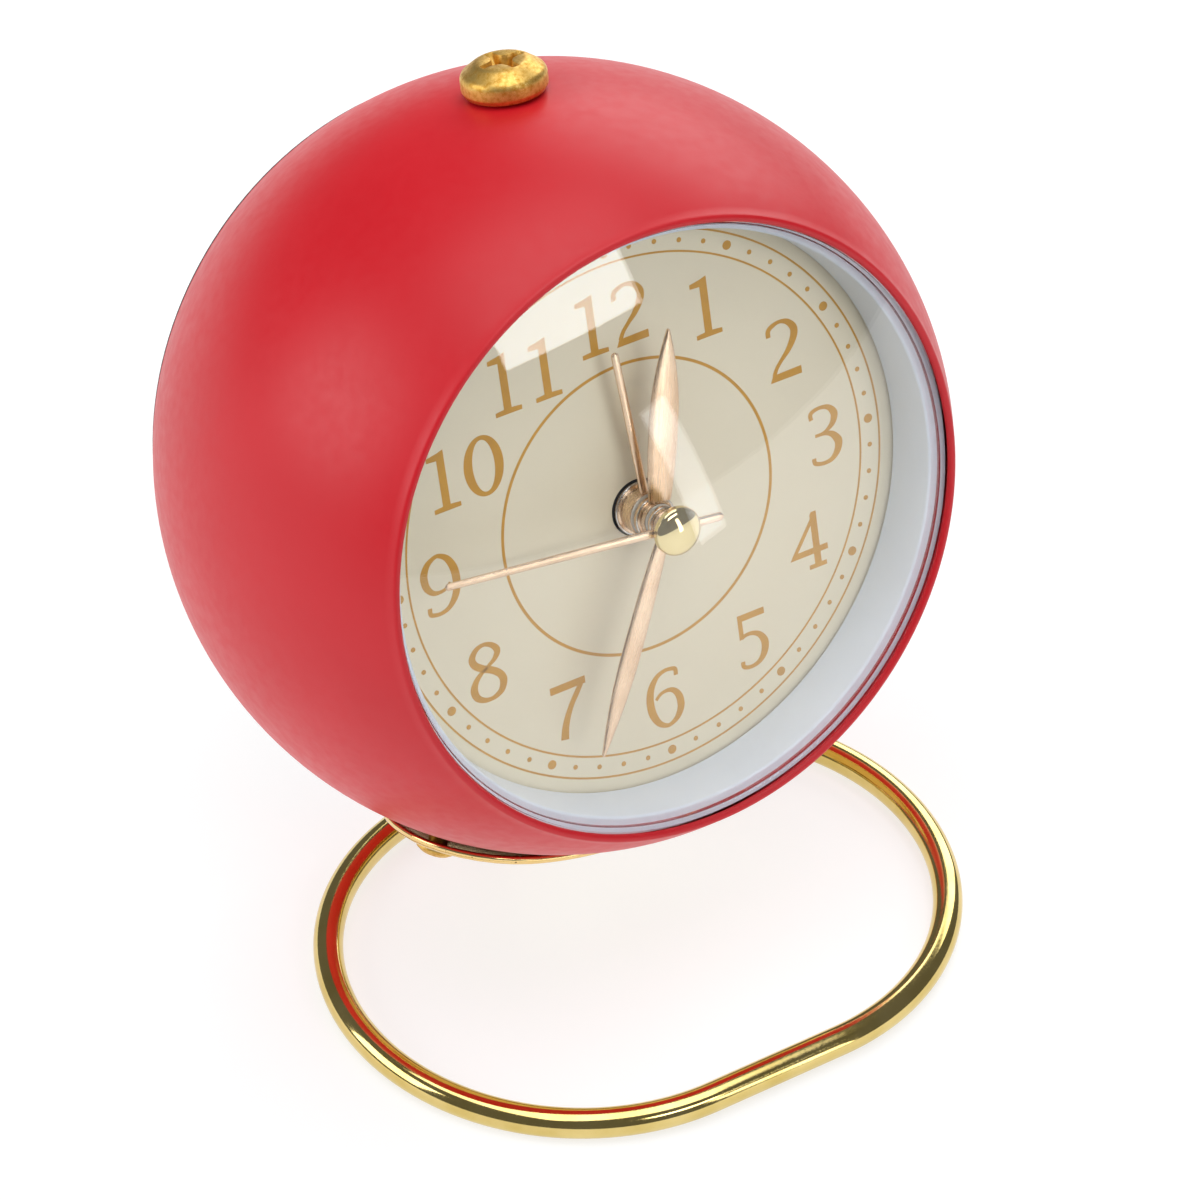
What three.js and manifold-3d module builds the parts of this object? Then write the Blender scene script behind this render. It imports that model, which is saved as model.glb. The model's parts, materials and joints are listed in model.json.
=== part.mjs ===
// A round ball alarm clock, leaned back on a bent wire stand.
// Millimetres. The clock stands on the table plane z = 0, its dial faces -Y and +Z is up.
// The ball and all that is in it are built upright about the ball's centre, with Y as the
// dial's axis and the front towards -Y, and are leaned back together. The stand lies flat.

import * as THREE from "three";
import { mergeVertices } from "three/addons/utils/BufferGeometryUtils.js";
import Module from "manifold-3d";

const wasm = await Module();
wasm.setup();

// ---------------------------------------------------------------- driving dimensions

const LEAN = THREE.MathUtils.degToRad(16);
const BALL_CENTRE = [0, 9.68, 64.4];
const BALL_RADIUS = 51;
const BALL_HALF_DEPTH = 52.1;
const SHELL_WALL = 0.9;
const RIM_Y = -31.3;
const REAR_Y = 26.5;
const DIAL_Y = -20.4;
const DIAL_RADIUS = 41;
const DIAL_HOLE = 3.8;
const DIAL_THICKNESS = 0.5;
const GAP = 0.3;

const WIRE_RADIUS = 2;
const LOOP_END_RADIUS = 32.88;
const LOOP_HALF_STRAIGHT = 9.84;
const LOOP_CENTRE_Y = -23.55;
const LEG_X = 3.5;

const STRAP_INNER_RADIUS = 56.1;
const STRAP_THICKNESS = 1.1;
const STRAP_CENTRE_RISE = 4.8;
const STRAP_LENGTH = 61;
const STRAP_WIDTH = 26;
const STRAP_CORNER = 12;
const STRAP_SCREW_ANGLE = THREE.MathUtils.degToRad(28);

const CASE_SIZE = 52;
const CASE_FRONT_Y = -17.3;
const CASE_SPLIT_Y = -8.85;
const CASE_BACK_Y = -0.8;
const CASE_WALL = 1.2;

const PANEL_Y = 25;
const PANEL_THICKNESS = 1.8;
const KNOB_X = 14.85;
const KNOB_Z = 10.7;
const SWITCH_Z = 22;
const SWITCH_REST_X = -2;
const BATTERY_Y = 16.2;
const BATTERY_Z = -16.05;
const BATTERY_RADIUS = 7.1;
const PILLARS = [[0, 33.5], [34, -7.2], [-34, -7.2]];

const ALARM_ANGLE = 355.5;
const HOUR_ANGLE = 12;
const MINUTE_ANGLE = 205.5;
const SECOND_ANGLE = 276.8;

// Segments round a full turn, by how large the piece is.
const ROUND = 40;
const SMALL_ROUND = 16;
const FINE_ROUND = 10;

// ---------------------------------------------------------------- finishes

const RED_PAINT = { color: 0xd42c3a, roughness: 0.45, metalness: 0 };
const GOLD_WIRE = { color: 0xdec678, roughness: 0.18, metalness: 1 };
const GOLD_SCREW = { color: 0xc8a03c, roughness: 0.35, metalness: 1 };
const ROSE_GOLD = { color: 0xe1be9b, roughness: 0.35, metalness: 0.8 };
const PALE_GOLD = { color: 0xe6dea2, roughness: 0.15, metalness: 1 };
const DIAL_CREAM = { color: 0xcdc8b4, roughness: 0.5, metalness: 0 };
const WHITE_PLASTIC = { color: 0xe4e6e8, roughness: 0.4, metalness: 0 };
const BLACK_PLASTIC = { color: 0x1c1c1e, roughness: 0.5, metalness: 0 };
const CLEAR_PLASTIC = {
  color: 0xffffff,
  roughness: 0.05,
  metalness: 0,
  transparent: true,
  opacity: 0.25,
};
const STEEL = { color: 0xb8babd, roughness: 0.3, metalness: 1 };
const BRASS = { color: 0xc9a85a, roughness: 0.35, metalness: 1 };
const COPPER = { color: 0xb4663c, roughness: 0.4, metalness: 1 };
const GEAR_PLASTIC = { color: 0xf0efe6, roughness: 0.5, metalness: 0 };
const BOARD_GREEN = { color: 0x1f5a3a, roughness: 0.6, metalness: 0 };
const BATTERY_JACKET = { color: 0x2b3a55, roughness: 0.4, metalness: 0.2 };
const RED_CABLE = { color: 0xa82020, roughness: 0.6, metalness: 0 };

// ---------------------------------------------------------------- shape helpers

// A body of revolution about Y. The profile goes round the section as [radius, y] corners,
// and closes on itself unless it starts on the axis.
function turned(profile, segments = ROUND) {
  const points = profile.map(([radius, y]) => new THREE.Vector2(radius, y));
  if (THREE.ShapeUtils.isClockWise(points)) points.reverse();
  if (points[0].x > 0) points.push(points[0].clone());
  return new THREE.LatheGeometry(points, segments);
}

// The same about Z, with the profile's second number as height.
function turnedUp(profile, segments = ROUND) {
  return turned(profile, segments).rotateX(Math.PI / 2);
}

// A flat outline in (x, z), with thickness from yFront to yBack.
function plate(outline, yFront, yBack) {
  const options = { depth: yBack - yFront, bevelEnabled: false, curveSegments: 4 };
  return new THREE.ExtrudeGeometry(outline, options).rotateX(Math.PI / 2).translate(0, yBack, 0);
}

// A box between two corners.
function block([x0, y0, z0], [x1, y1, z1]) {
  const box = new THREE.BoxGeometry(x1 - x0, y1 - y0, z1 - z0);
  return box.translate((x0 + x1) / 2, (y0 + y1) / 2, (z0 + z1) / 2);
}

// A round rod along Y at (x, z).
function rod([x, z], radius, y0, y1, segments = FINE_ROUND) {
  return turned([[0, y0], [radius, y0], [radius, y1], [0, y1]], segments).translate(x, 0, z);
}

// A round tube along Y at (x, z).
function tube([x, z], inner, outer, y0, y1, segments = SMALL_ROUND) {
  const section = [[inner, y0], [outer, y0], [outer, y1], [inner, y1]];
  return turned(section, segments).translate(x, 0, z);
}

function roundedRectangle(width, height, radius, [cx, cz] = [0, 0]) {
  const w = width / 2;
  const h = height / 2;
  const shape = new THREE.Shape();
  shape.moveTo(cx - w + radius, cz - h);
  shape.lineTo(cx + w - radius, cz - h);
  shape.absarc(cx + w - radius, cz - h + radius, radius, -Math.PI / 2, 0);
  shape.lineTo(cx + w, cz + h - radius);
  shape.absarc(cx + w - radius, cz + h - radius, radius, 0, Math.PI / 2);
  shape.lineTo(cx - w + radius, cz + h);
  shape.absarc(cx - w + radius, cz + h - radius, radius, Math.PI / 2, Math.PI);
  shape.lineTo(cx - w, cz - h + radius);
  shape.absarc(cx - w + radius, cz - h + radius, radius, Math.PI, 1.5 * Math.PI);
  return shape;
}

// Points on an ellipse section of the ball, offset inwards, from y0 to y1.
function ballSection(offset, y0, y1, steps) {
  const radius = BALL_RADIUS - offset;
  const halfDepth = BALL_HALF_DEPTH - offset;
  const a0 = Math.asin(y0 / halfDepth);
  const a1 = Math.asin(y1 / halfDepth);
  return Array.from({ length: steps + 1 }, (_, i) => {
    const a = a0 + ((a1 - a0) * i) / steps;
    return [radius * Math.cos(a), halfDepth * Math.sin(a)];
  });
}

// Points on a circle of the given radius centred on the axis, from one angle off it to another.
function arcSection(radius, centre, a0, a1, steps) {
  return Array.from({ length: steps + 1 }, (_, i) => {
    const a = a0 + ((a1 - a0) * i) / steps;
    const r = radius * Math.sin(a);
    return [Math.abs(r) < 1e-9 ? 0 : r, centre - radius * Math.cos(a)];
  });
}

// A round section swept along a curve.
function swept(curve, radius, sides, steps) {
  const circumscribed = radius / Math.cos(Math.PI / sides);
  const section = new THREE.Shape();
  for (let i = 0; i < sides; i++) {
    const a = ((i + 0.5) * 2 * Math.PI) / sides;
    const x = circumscribed * Math.cos(a);
    const y = circumscribed * Math.sin(a);
    if (i === 0) section.moveTo(x, y);
    else section.lineTo(x, y);
  }
  return new THREE.ExtrudeGeometry(section, { steps, bevelEnabled: false, extrudePath: curve });
}

function solid(geometry) {
  const bare = geometry.clone();
  bare.deleteAttribute("normal");
  bare.deleteAttribute("uv");
  const merged = mergeVertices(bare, 1e-4);
  const vertProperties = new Float32Array(merged.attributes.position.array);
  const triVerts = new Uint32Array(merged.index.array);
  return new wasm.Manifold(new wasm.Mesh({ numProp: 3, vertProperties, triVerts }));
}

function surface(body) {
  const mesh = body.getMesh();
  const geometry = new THREE.BufferGeometry();
  geometry.setAttribute("position", new THREE.BufferAttribute(mesh.vertProperties, 3));
  geometry.setIndex(new THREE.BufferAttribute(mesh.triVerts, 1));
  geometry.computeVertexNormals();
  return geometry;
}

function join(first, ...others) {
  return surface(others.reduce((body, other) => body.add(solid(other)), solid(first)));
}

function cut(first, ...tools) {
  return surface(tools.reduce((body, tool) => body.subtract(solid(tool)), solid(first)));
}

function common(first, second) {
  return surface(solid(first).intersect(solid(second)));
}

const TOOTH_DEPTH = 1.9;

// A toothed wheel with pointed teeth, its tips on the pitch circle. The fewer teeth, the deeper.
function gear([x, z], teeth, radius, y0, y1) {
  const root = radius * (1 - TOOTH_DEPTH / teeth);
  const outline = new THREE.Shape();
  for (let i = 0; i < 2 * teeth; i++) {
    const a = (i * Math.PI) / teeth;
    const r = i % 2 === 0 ? radius : root;
    if (i === 0) outline.moveTo(r, 0);
    else outline.lineTo(r * Math.cos(a), r * Math.sin(a));
  }
  return plate(outline, y0, y1).translate(x, 0, z);
}

// Two crossed slots for a cross-head driver, sunk along -Z from height zTop.
function crossRecess(width, length, zTop, depth) {
  const w = width / 2;
  const l = length / 2;
  return join(
    block([-l, -w, zTop - depth], [l, w, zTop + 1]),
    block([-w, -l, zTop - depth], [w, l, zTop + 1]),
  );
}

// A cross-head screw along Z: its seat is at z = 0, its head above and its shank below.
function crossHeadScrew(size) {
  const { headRadius, headHeight, shankRadius, shankLength, slotWidth, slotLength, segments } = size;
  const edge = headHeight * 0.45;
  const head = turnedUp(
    [
      [0, 0],
      [headRadius * 0.94, 0],
      [headRadius, headHeight * 0.12],
      [headRadius, edge],
      [headRadius * 0.9, headHeight * 0.78],
      [headRadius * 0.68, headHeight * 0.96],
      [0, headHeight],
    ],
    segments,
  );
  const shankSection = [[0, -shankLength], [shankRadius, -shankLength], [shankRadius, 1], [0, 1]];
  const shank = turnedUp(shankSection, 8);
  const recess = crossRecess(slotWidth, slotLength, headHeight, headHeight * 0.6);
  return cut(join(head, shank), recess);
}

// A hexagon nut along Z, from z0 to z1.
function hexNut(cornerRadius, boreRadius, z0, z1) {
  const body = turnedUp([[0, z0], [cornerRadius, z0], [cornerRadius, z1], [0, z1]], 6);
  const boreSection = [[0, z0 - 1], [boreRadius, z0 - 1], [boreRadius, z1 + 1], [0, z1 + 1]];
  const bore = turnedUp(boreSection, FINE_ROUND);
  return cut(body, bore);
}

function place(parent, name, geometry, finish) {
  const mesh = new THREE.Mesh(geometry, new THREE.MeshStandardMaterial(finish));
  mesh.name = name;
  parent.add(mesh);
  return mesh;
}

// ---------------------------------------------------------------- scene graph

const alarmClock = new THREE.Group();
const upright = new THREE.Group();
upright.position.set(...BALL_CENTRE);
alarmClock.add(upright);
const ball = new THREE.Group();
ball.rotation.x = -LEAN;
upright.add(ball);

// ---------------------------------------------------------------- ball, lens and dial

const TOP_SCREW_LEAN = THREE.MathUtils.degToRad(1.6);

// A tool that drills the ball along a ray from its centre, turned from straight up.
function ballDrill(radius, turn) {
  return turnedUp([[0, 40], [radius, 40], [radius, 60], [0, 60]], FINE_ROUND).rotateY(turn);
}

function shellGeometry() {
  const outer = ballSection(0, RIM_Y, REAR_Y, 9);
  const inner = ballSection(SHELL_WALL, REAR_Y, RIM_Y, 9);
  return cut(
    turned([...outer, ...inner]),
    ballDrill(3, 0).rotateX(TOP_SCREW_LEAN),
    ballDrill(1.8, Math.PI + STRAP_SCREW_ANGLE),
    ballDrill(1.8, Math.PI - STRAP_SCREW_ANGLE),
  );
}

const LENS_EDGE_RADIUS = 39.85;
const LENS_EDGE_Y = RIM_Y + 0.8;
const LENS_RISE = 8.8;
const LENS_THICKNESS = 1.5;
const LENS_FOOT_Y = -28.4;
const LENS_FLANGE = { inner: 39.1, outer: 40.7, height: 0.9 };

// A domed window. Its edge tucks in behind the shell's rim and spreads into a flange.
function lensGeometry() {
  const domeRadius = (LENS_EDGE_RADIUS ** 2 + LENS_RISE ** 2) / (2 * LENS_RISE);
  const domeCentre = LENS_EDGE_Y - LENS_RISE + domeRadius;
  const innerRadius = domeRadius - LENS_THICKNESS;
  const edgeAngle = Math.asin(LENS_EDGE_RADIUS / domeRadius);
  const innerAngle = Math.asin(LENS_FLANGE.inner / innerRadius);
  return turned([
    ...arcSection(domeRadius, domeCentre, 0, edgeAngle, 4),
    [LENS_FLANGE.outer, LENS_FOOT_Y - LENS_FLANGE.height],
    [LENS_FLANGE.outer, LENS_FOOT_Y],
    [LENS_FLANGE.inner, LENS_FOOT_Y],
    ...arcSection(innerRadius, domeCentre, innerAngle, 0, 4),
  ]);
}

function reflectorRingGeometry() {
  const back = DIAL_Y - GAP;
  const front = LENS_FOOT_Y + GAP;
  return turned([
    [37.9, back],
    [DIAL_RADIUS, back],
    [DIAL_RADIUS, back - 1.3],
    [39.6, back - 1.9],
    [39.6, front + 1.5],
    [41.2, front + 1.1],
    [41.2, front],
    [38.2, front],
  ]);
}

place(ball, "ball_shell", shellGeometry(), RED_PAINT);
place(ball, "lens", lensGeometry(), CLEAR_PLASTIC);
place(ball, "reflector_ring", reflectorRingGeometry(), WHITE_PLASTIC);
const dialDisc = tube([0, 0], DIAL_HOLE, DIAL_RADIUS, DIAL_Y, DIAL_Y + DIAL_THICKNESS, ROUND);
place(ball, "dial", dialDisc, DIAL_CREAM);

// ---------------------------------------------------------------- inner frame

const MOVEMENT_EARS = [[29.5, 12], [-29.5, 12]];
const PILLAR_END_Y = 15;

function innerFrameGeometry() {
  const front = DIAL_Y + DIAL_THICKNESS + GAP;
  const back = front + 2;
  const drum = turned([
    [3.9, front],
    [DIAL_RADIUS, front],
    [DIAL_RADIUS, back + 7],
    [DIAL_RADIUS - 1.4, back + 7],
    [DIAL_RADIUS - 1.4, back],
    [3.9, back],
  ]);
  const pillars = PILLARS.map((at) => rod(at, 3.2, front + 1, PILLAR_END_Y, 12));
  const screwHoles = PILLARS.map((at) => rod(at, 1.35, 3, PILLAR_END_Y + 1));
  const earHoles = MOVEMENT_EARS.map((at) => rod(at, 1.2, front + 0.5, back + 1));
  return cut(join(drum, ...pillars), ...screwHoles, ...earHoles);
}

place(ball, "inner_frame", innerFrameGeometry(), WHITE_PLASTIC);

// ---------------------------------------------------------------- movement case

// Inner and outer radii of the nested tubes at the middle of the dial.
const TUBE_RADII = {
  bush: [3.15, 3.55],
  alarm: [2.35, 2.85],
  hour: [1.65, 2.1],
  minute: [1.05, 1.45],
};
const ARBOR_RADIUS = 0.75;
const CASE_CORNER = 6;

function caseCup(y0, y1, openAtFront) {
  const outer = plate(roundedRectangle(CASE_SIZE, CASE_SIZE, CASE_CORNER), y0, y1);
  const size = CASE_SIZE - 2 * CASE_WALL;
  const innerFront = openAtFront ? y0 - 1 : y0 + CASE_WALL;
  const innerBack = openAtFront ? y1 - CASE_WALL : y1 + 1;
  const hollow = roundedRectangle(size, size, CASE_CORNER - CASE_WALL);
  return cut(outer, plate(hollow, innerFront, innerBack));
}

function movementFrontGeometry() {
  const ears = MOVEMENT_EARS.map(([x, z]) =>
    plate(roundedRectangle(9, 7, 2.5, [x - Math.sign(x) * 1.2, z]), CASE_FRONT_Y, CASE_FRONT_Y + 2),
  );
  const [bushInner, bushOuter] = TUBE_RADII.bush;
  const bush = tube([0, 0], bushInner, bushOuter, DIAL_Y + 0.2, CASE_FRONT_Y + 0.5);
  const bore = rod([0, 0], bushInner, CASE_FRONT_Y - 1, CASE_FRONT_Y + 2, SMALL_ROUND);
  const earHoles = MOVEMENT_EARS.map((at) => rod(at, 1.4, CASE_FRONT_Y - 1, CASE_FRONT_Y + 3));
  const cup = caseCup(CASE_FRONT_Y, CASE_SPLIT_Y, false);
  return cut(join(cut(join(cup, ...ears), bore), bush), ...earHoles);
}

function movementBackGeometry() {
  const cup = caseCup(CASE_SPLIT_Y + GAP, CASE_BACK_Y, true);
  const front = CASE_BACK_Y - 2;
  const back = CASE_BACK_Y + 1;
  const shaftHoles = [KNOB_X, -KNOB_X].map((x) => rod([x, KNOB_Z], 1.8, front, back));
  const switchSlot = block([-3.6, front, SWITCH_Z - 1.8], [3.6, back, SWITCH_Z + 1.8]);
  return cut(cup, ...shaftHoles, switchSlot);
}

place(ball, "movement_front_case", movementFrontGeometry(), BLACK_PLASTIC);
place(ball, "movement_back_case", movementBackGeometry(), BLACK_PLASTIC);

MOVEMENT_EARS.forEach(([x, z], i) => {
  const screw = crossHeadScrew({
    headRadius: 2.2,
    headHeight: 1.5,
    shankRadius: 0.9,
    shankLength: 3.2,
    slotWidth: 0.6,
    slotLength: 2.4,
    segments: FINE_ROUND,
  });
  const mesh = place(ball, `movement_screw_${i + 1}`, screw, STEEL);
  mesh.position.set(x, CASE_FRONT_Y + 2 + GAP, z);
  mesh.rotation.x = -Math.PI / 2;
});

// ---------------------------------------------------------------- gear train

// Heights of the wheel layers, front to back, as [front, back].
const LAYER = {
  alarm: [-15.8, -14.7],
  hour: [-14.3, -13.3],
  motion: [-12.9, -12],
  centre: [-11.6, -10.7],
  third: [-9.8, -9],
  second: [-6.7, -5.9],
  intermediate: [-5.1, -4.3],
};
const MID_BEARING_Y = -10.3;
const ARBOR_BACK = -2.3;
const MESH_GAP = 0.2;

const HAND_HEIGHT = { alarm: 2.9, hour: 5.1, minute: 7, second: 8.5 };

const CANNON = { teeth: 8, radius: 1.92 };
const MOTION = { teeth: 32, radius: 7.68 };
const MOTION_PINION = { teeth: 8, radius: 2.4 };
const HOUR = { teeth: 24, radius: 7.2 };
const TIME_SET = { teeth: 10, radius: 2.4 };
const ALARM = { teeth: 36, radius: 14.17 };
const ALARM_SET = { teeth: 10, radius: 3.94 };
const THIRD = { teeth: 45, radius: 9 };
const THIRD_PINION = { teeth: 6, radius: 1.13 };
const CENTRE = { teeth: 48, radius: 9.07 };
const SECOND_PINION = { teeth: 6, radius: 1.2 };
const SECOND = { teeth: 36, radius: 6.9 };
const INTERMEDIATE = { teeth: 30, radius: 5.5 };
const INTERMEDIATE_PINION = { teeth: 6, radius: 1.15 };
const ROTOR_PINION = { teeth: 6, radius: 1.1 };

function polar([x, z], distance, degrees) {
  const a = THREE.MathUtils.degToRad(degrees);
  return [x + distance * Math.cos(a), z + distance * Math.sin(a)];
}

const CENTRE_AXIS = [0, 0];
const MOTION_AXIS = polar(CENTRE_AXIS, CANNON.radius + MOTION.radius + MESH_GAP, 170);
const THIRD_AXIS = polar(CENTRE_AXIS, SECOND_PINION.radius + THIRD.radius + MESH_GAP, -15);
const INTERMEDIATE_REACH = INTERMEDIATE_PINION.radius + SECOND.radius + MESH_GAP;
const INTERMEDIATE_AXIS = polar(CENTRE_AXIS, INTERMEDIATE_REACH, -100);
const ROTOR_REACH = ROTOR_PINION.radius + INTERMEDIATE.radius + MESH_GAP;
const ROTOR_AXIS = polar(INTERMEDIATE_AXIS, ROTOR_REACH, 190);
const TIME_SET_AXIS = [-KNOB_X, KNOB_Z];
const ALARM_SET_AXIS = [KNOB_X, KNOB_Z];

function wheel(axis, { teeth, radius }, [y0, y1]) {
  return gear(axis, teeth, radius, y0, y1);
}

// A wheel with a hollow hub that carries a hand: the tube comes forward to the hand.
function tubeWheel(size, layer, [inner, outer], handHeight) {
  const hub = rod(CENTRE_AXIS, outer, DIAL_Y - handHeight, layer[1], SMALL_ROUND);
  const bore = rod(CENTRE_AXIS, inner, DIAL_Y - handHeight - 1, 0, SMALL_ROUND);
  return cut(join(wheel(CENTRE_AXIS, size, layer), hub), bore);
}

function centreWheelGeometry() {
  const cannon = wheel(CENTRE_AXIS, CANNON, [LAYER.motion[0], LAYER.centre[0] + 0.2]);
  const disc = wheel(CENTRE_AXIS, CENTRE, LAYER.centre);
  const [inner, outer] = TUBE_RADII.minute;
  const hub = rod(CENTRE_AXIS, outer, DIAL_Y - HAND_HEIGHT.minute, LAYER.centre[1], SMALL_ROUND);
  const bore = rod(CENTRE_AXIS, inner, DIAL_Y - HAND_HEIGHT.minute - 1, 0, SMALL_ROUND);
  return cut(join(disc, cannon, hub), bore);
}

const alarmWheel = tubeWheel(ALARM, LAYER.alarm, TUBE_RADII.alarm, HAND_HEIGHT.alarm);
const hourWheel = tubeWheel(HOUR, LAYER.hour, TUBE_RADII.hour, HAND_HEIGHT.hour);
place(ball, "alarm_wheel", alarmWheel, GEAR_PLASTIC);
place(ball, "hour_wheel", hourWheel, GEAR_PLASTIC);
place(ball, "minute_wheel", centreWheelGeometry(), BRASS);
place(
  ball,
  "motion_wheel",
  join(
    wheel(MOTION_AXIS, MOTION, LAYER.motion),
    wheel(MOTION_AXIS, MOTION_PINION, [LAYER.hour[0], LAYER.motion[0] + 0.2]),
  ),
  GEAR_PLASTIC,
);
place(
  ball,
  "third_wheel",
  join(
    wheel(THIRD_AXIS, THIRD, LAYER.third),
    wheel(THIRD_AXIS, THIRD_PINION, [LAYER.centre[0], LAYER.third[0] + 0.2]),
    rod(THIRD_AXIS, 0.5, LAYER.centre[0] - 2, ARBOR_BACK),
  ),
  GEAR_PLASTIC,
);
place(
  ball,
  "second_wheel",
  join(
    wheel(CENTRE_AXIS, SECOND, LAYER.second),
    wheel(CENTRE_AXIS, SECOND_PINION, [LAYER.third[0], LAYER.second[0] + 0.2]),
    rod(CENTRE_AXIS, ARBOR_RADIUS, DIAL_Y - HAND_HEIGHT.second, ARBOR_BACK),
  ),
  GEAR_PLASTIC,
);
place(
  ball,
  "intermediate_wheel",
  join(
    wheel(INTERMEDIATE_AXIS, INTERMEDIATE, LAYER.intermediate),
    wheel(INTERMEDIATE_AXIS, INTERMEDIATE_PINION, [LAYER.second[0], LAYER.intermediate[0] + 0.2]),
    rod(INTERMEDIATE_AXIS, 0.5, MID_BEARING_Y, ARBOR_BACK),
  ),
  GEAR_PLASTIC,
);

const ROTOR_MAGNET_RADIUS = 2.6;

place(
  ball,
  "rotor",
  join(
    rod(ROTOR_AXIS, ROTOR_MAGNET_RADIUS, -9.2, -6.9, SMALL_ROUND),
    wheel(ROTOR_AXIS, ROTOR_PINION, [-7.1, LAYER.intermediate[1]]),
    rod(ROTOR_AXIS, 0.4, MID_BEARING_Y, ARBOR_BACK),
  ),
  STEEL,
);

// ---------------------------------------------------------------- motor and electronics

const COIL_X = -19.5;
const CORE_Z = [-20, 2];

function statorGeometry() {
  const outline = new THREE.Shape();
  outline.moveTo(-20.6, CORE_Z[0]);
  outline.lineTo(-3.8, CORE_Z[0]);
  outline.lineTo(-3.8, CORE_Z[1]);
  outline.lineTo(-20.6, CORE_Z[1]);
  outline.lineTo(-20.6, CORE_Z[1] - 2.4);
  outline.lineTo(-13, CORE_Z[1] - 2.4);
  outline.lineTo(-13, CORE_Z[0] + 2.4);
  outline.lineTo(-20.6, CORE_Z[0] + 2.4);
  const sheet = plate(outline, -8.5, -7.5);
  return cut(sheet, rod(ROTOR_AXIS, ROTOR_MAGNET_RADIUS + 0.5, -10, -6, SMALL_ROUND));
}

// The coil's round pieces lie along Z.
function coilRing(inner, outer, z0, z1) {
  const section = [[inner, z0], [outer, z0], [outer, z1], [inner, z1]];
  return turnedUp(section, SMALL_ROUND).translate(COIL_X, -6.7, 0);
}

function bobbinGeometry() {
  return join(
    coilRing(1.7, 2.3, -16.6, -1.4),
    coilRing(1.7, 4, -16.6, -15.8),
    coilRing(1.7, 4, -2.2, -1.4),
  );
}

place(ball, "stator", statorGeometry(), STEEL);
place(ball, "coil_core", block([-20.5, -7.2, CORE_Z[0]], [-18.5, -6.2, CORE_Z[1]]), STEEL);
place(ball, "coil_bobbin", bobbinGeometry(), BLACK_PLASTIC);
place(ball, "coil_winding", coilRing(2.5, 3.7, -15.5, -2.5), COPPER);
place(ball, "circuit_board", block([5.5, -8.2, -22.5], [22.5, -7.2, -12.6]), BOARD_GREEN);
const crystalCan = turned([[0, 0], [1.05, 0], [1.05, 6.2], [0, 6.2]], 12);
place(ball, "quartz_crystal", crystalCan.rotateZ(-Math.PI / 2).translate(14, -5.8, -21), STEEL);
place(ball, "clock_chip", block([8, -6.9, -18.6], [12.5, -5.6, -14.4]), BLACK_PLASTIC);
place(ball, "buzzer", rod([0, 15.5], 8, -6.8, -2.5, SMALL_ROUND), BLACK_PLASTIC);
place(ball, "alarm_contact", block([-22, -12.6, -12.4], [-3, -12.3, -10.4]), BRASS);

// ---------------------------------------------------------------- rear cover

const BAY = { halfLength: 29.6, halfHeight: 9.75, front: 7.4 };
const BAY_CAVITY = { halfLength: 27.1, halfHeight: 7.5, front: 8.6 };
const DOOR = { halfLength: 28.1, halfHeight: 8.45, thickness: 1.3 };

function bayBlock({ halfLength, halfHeight }, y0, y1) {
  return block([-halfLength, y0, BATTERY_Z - halfHeight], [halfLength, y1, BATTERY_Z + halfHeight]);
}

function rearCoverGeometry() {
  const inside = PANEL_Y - PANEL_THICKNESS;
  const flange = REAR_Y + GAP;
  const dish = turned([
    [0, inside],
    [38.6, inside],
    [40.6, 25.6],
    [41.6, 25.6],
    [41.6, 22.4],
    [42.6, 22.4],
    [42.6, flange],
    [43.7, flange],
    [43.7, flange + 0.4],
    [43.3, flange + 0.7],
    [41.4, flange + 0.7],
    [38.9, PANEL_Y],
    [0, PANEL_Y],
  ]);
  const bay = bayBlock(BAY, BAY.front, inside + 0.5);
  const bosses = PILLARS.map((at) => rod(at, 3.4, PILLAR_END_Y + GAP, inside + 0.5, 12));
  const rebate = { halfLength: DOOR.halfLength + 0.3, halfHeight: DOOR.halfHeight + 0.3 };
  const slots = [-3.6, -0.8, 2].map((z) => block([-12, 20, z - 0.7], [12, 26, z + 0.7]));
  const shaftHoles = [KNOB_X, -KNOB_X].map((x) => rod([x, KNOB_Z], 1.9, 20, 26));
  return cut(
    join(dish, bay, ...bosses),
    bayBlock(BAY_CAVITY, BAY_CAVITY.front, PANEL_Y + 1),
    bayBlock(rebate, PANEL_Y - DOOR.thickness - 0.2, PANEL_Y + 1),
    ...PILLARS.map((at) => rod(at, 1.7, PILLAR_END_Y - 1, PANEL_Y + 1)),
    ...slots,
    ...shaftHoles,
    block([-4.1, 20, SWITCH_Z - 1.6], [4.1, 26, SWITCH_Z + 1.6]),
  );
}

function doorGeometry() {
  const panel = bayBlock(DOOR, PANEL_Y - DOOR.thickness, PANEL_Y);
  const gripZ = BATTERY_Z + DOOR.halfHeight - 3;
  const grip = block([-5, PANEL_Y - 0.6, gripZ - 1.2], [5, PANEL_Y + 1, gripZ + 1.2]);
  const ribs = [-3, 0, 3].map((x) =>
    block([x - 0.4, PANEL_Y - 0.8, gripZ - 1.4], [x + 0.4, PANEL_Y, gripZ + 1.4]),
  );
  return join(cut(panel, grip), ...ribs);
}

place(ball, "rear_cover", rearCoverGeometry(), BLACK_PLASTIC);
place(ball, "battery_door", doorGeometry(), BLACK_PLASTIC);

PILLARS.forEach(([x, z], i) => {
  const screw = crossHeadScrew({
    headRadius: 2.7,
    headHeight: 1.8,
    shankRadius: 1.1,
    shankLength: 19,
    slotWidth: 0.8,
    slotLength: 3,
    segments: FINE_ROUND,
  });
  const mesh = place(ball, `rear_cover_screw_${i + 1}`, screw, STEEL);
  mesh.position.set(x, PANEL_Y + 0.2, z);
  mesh.rotation.x = -Math.PI / 2;
});

// ---------------------------------------------------------------- battery and its contacts

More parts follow.
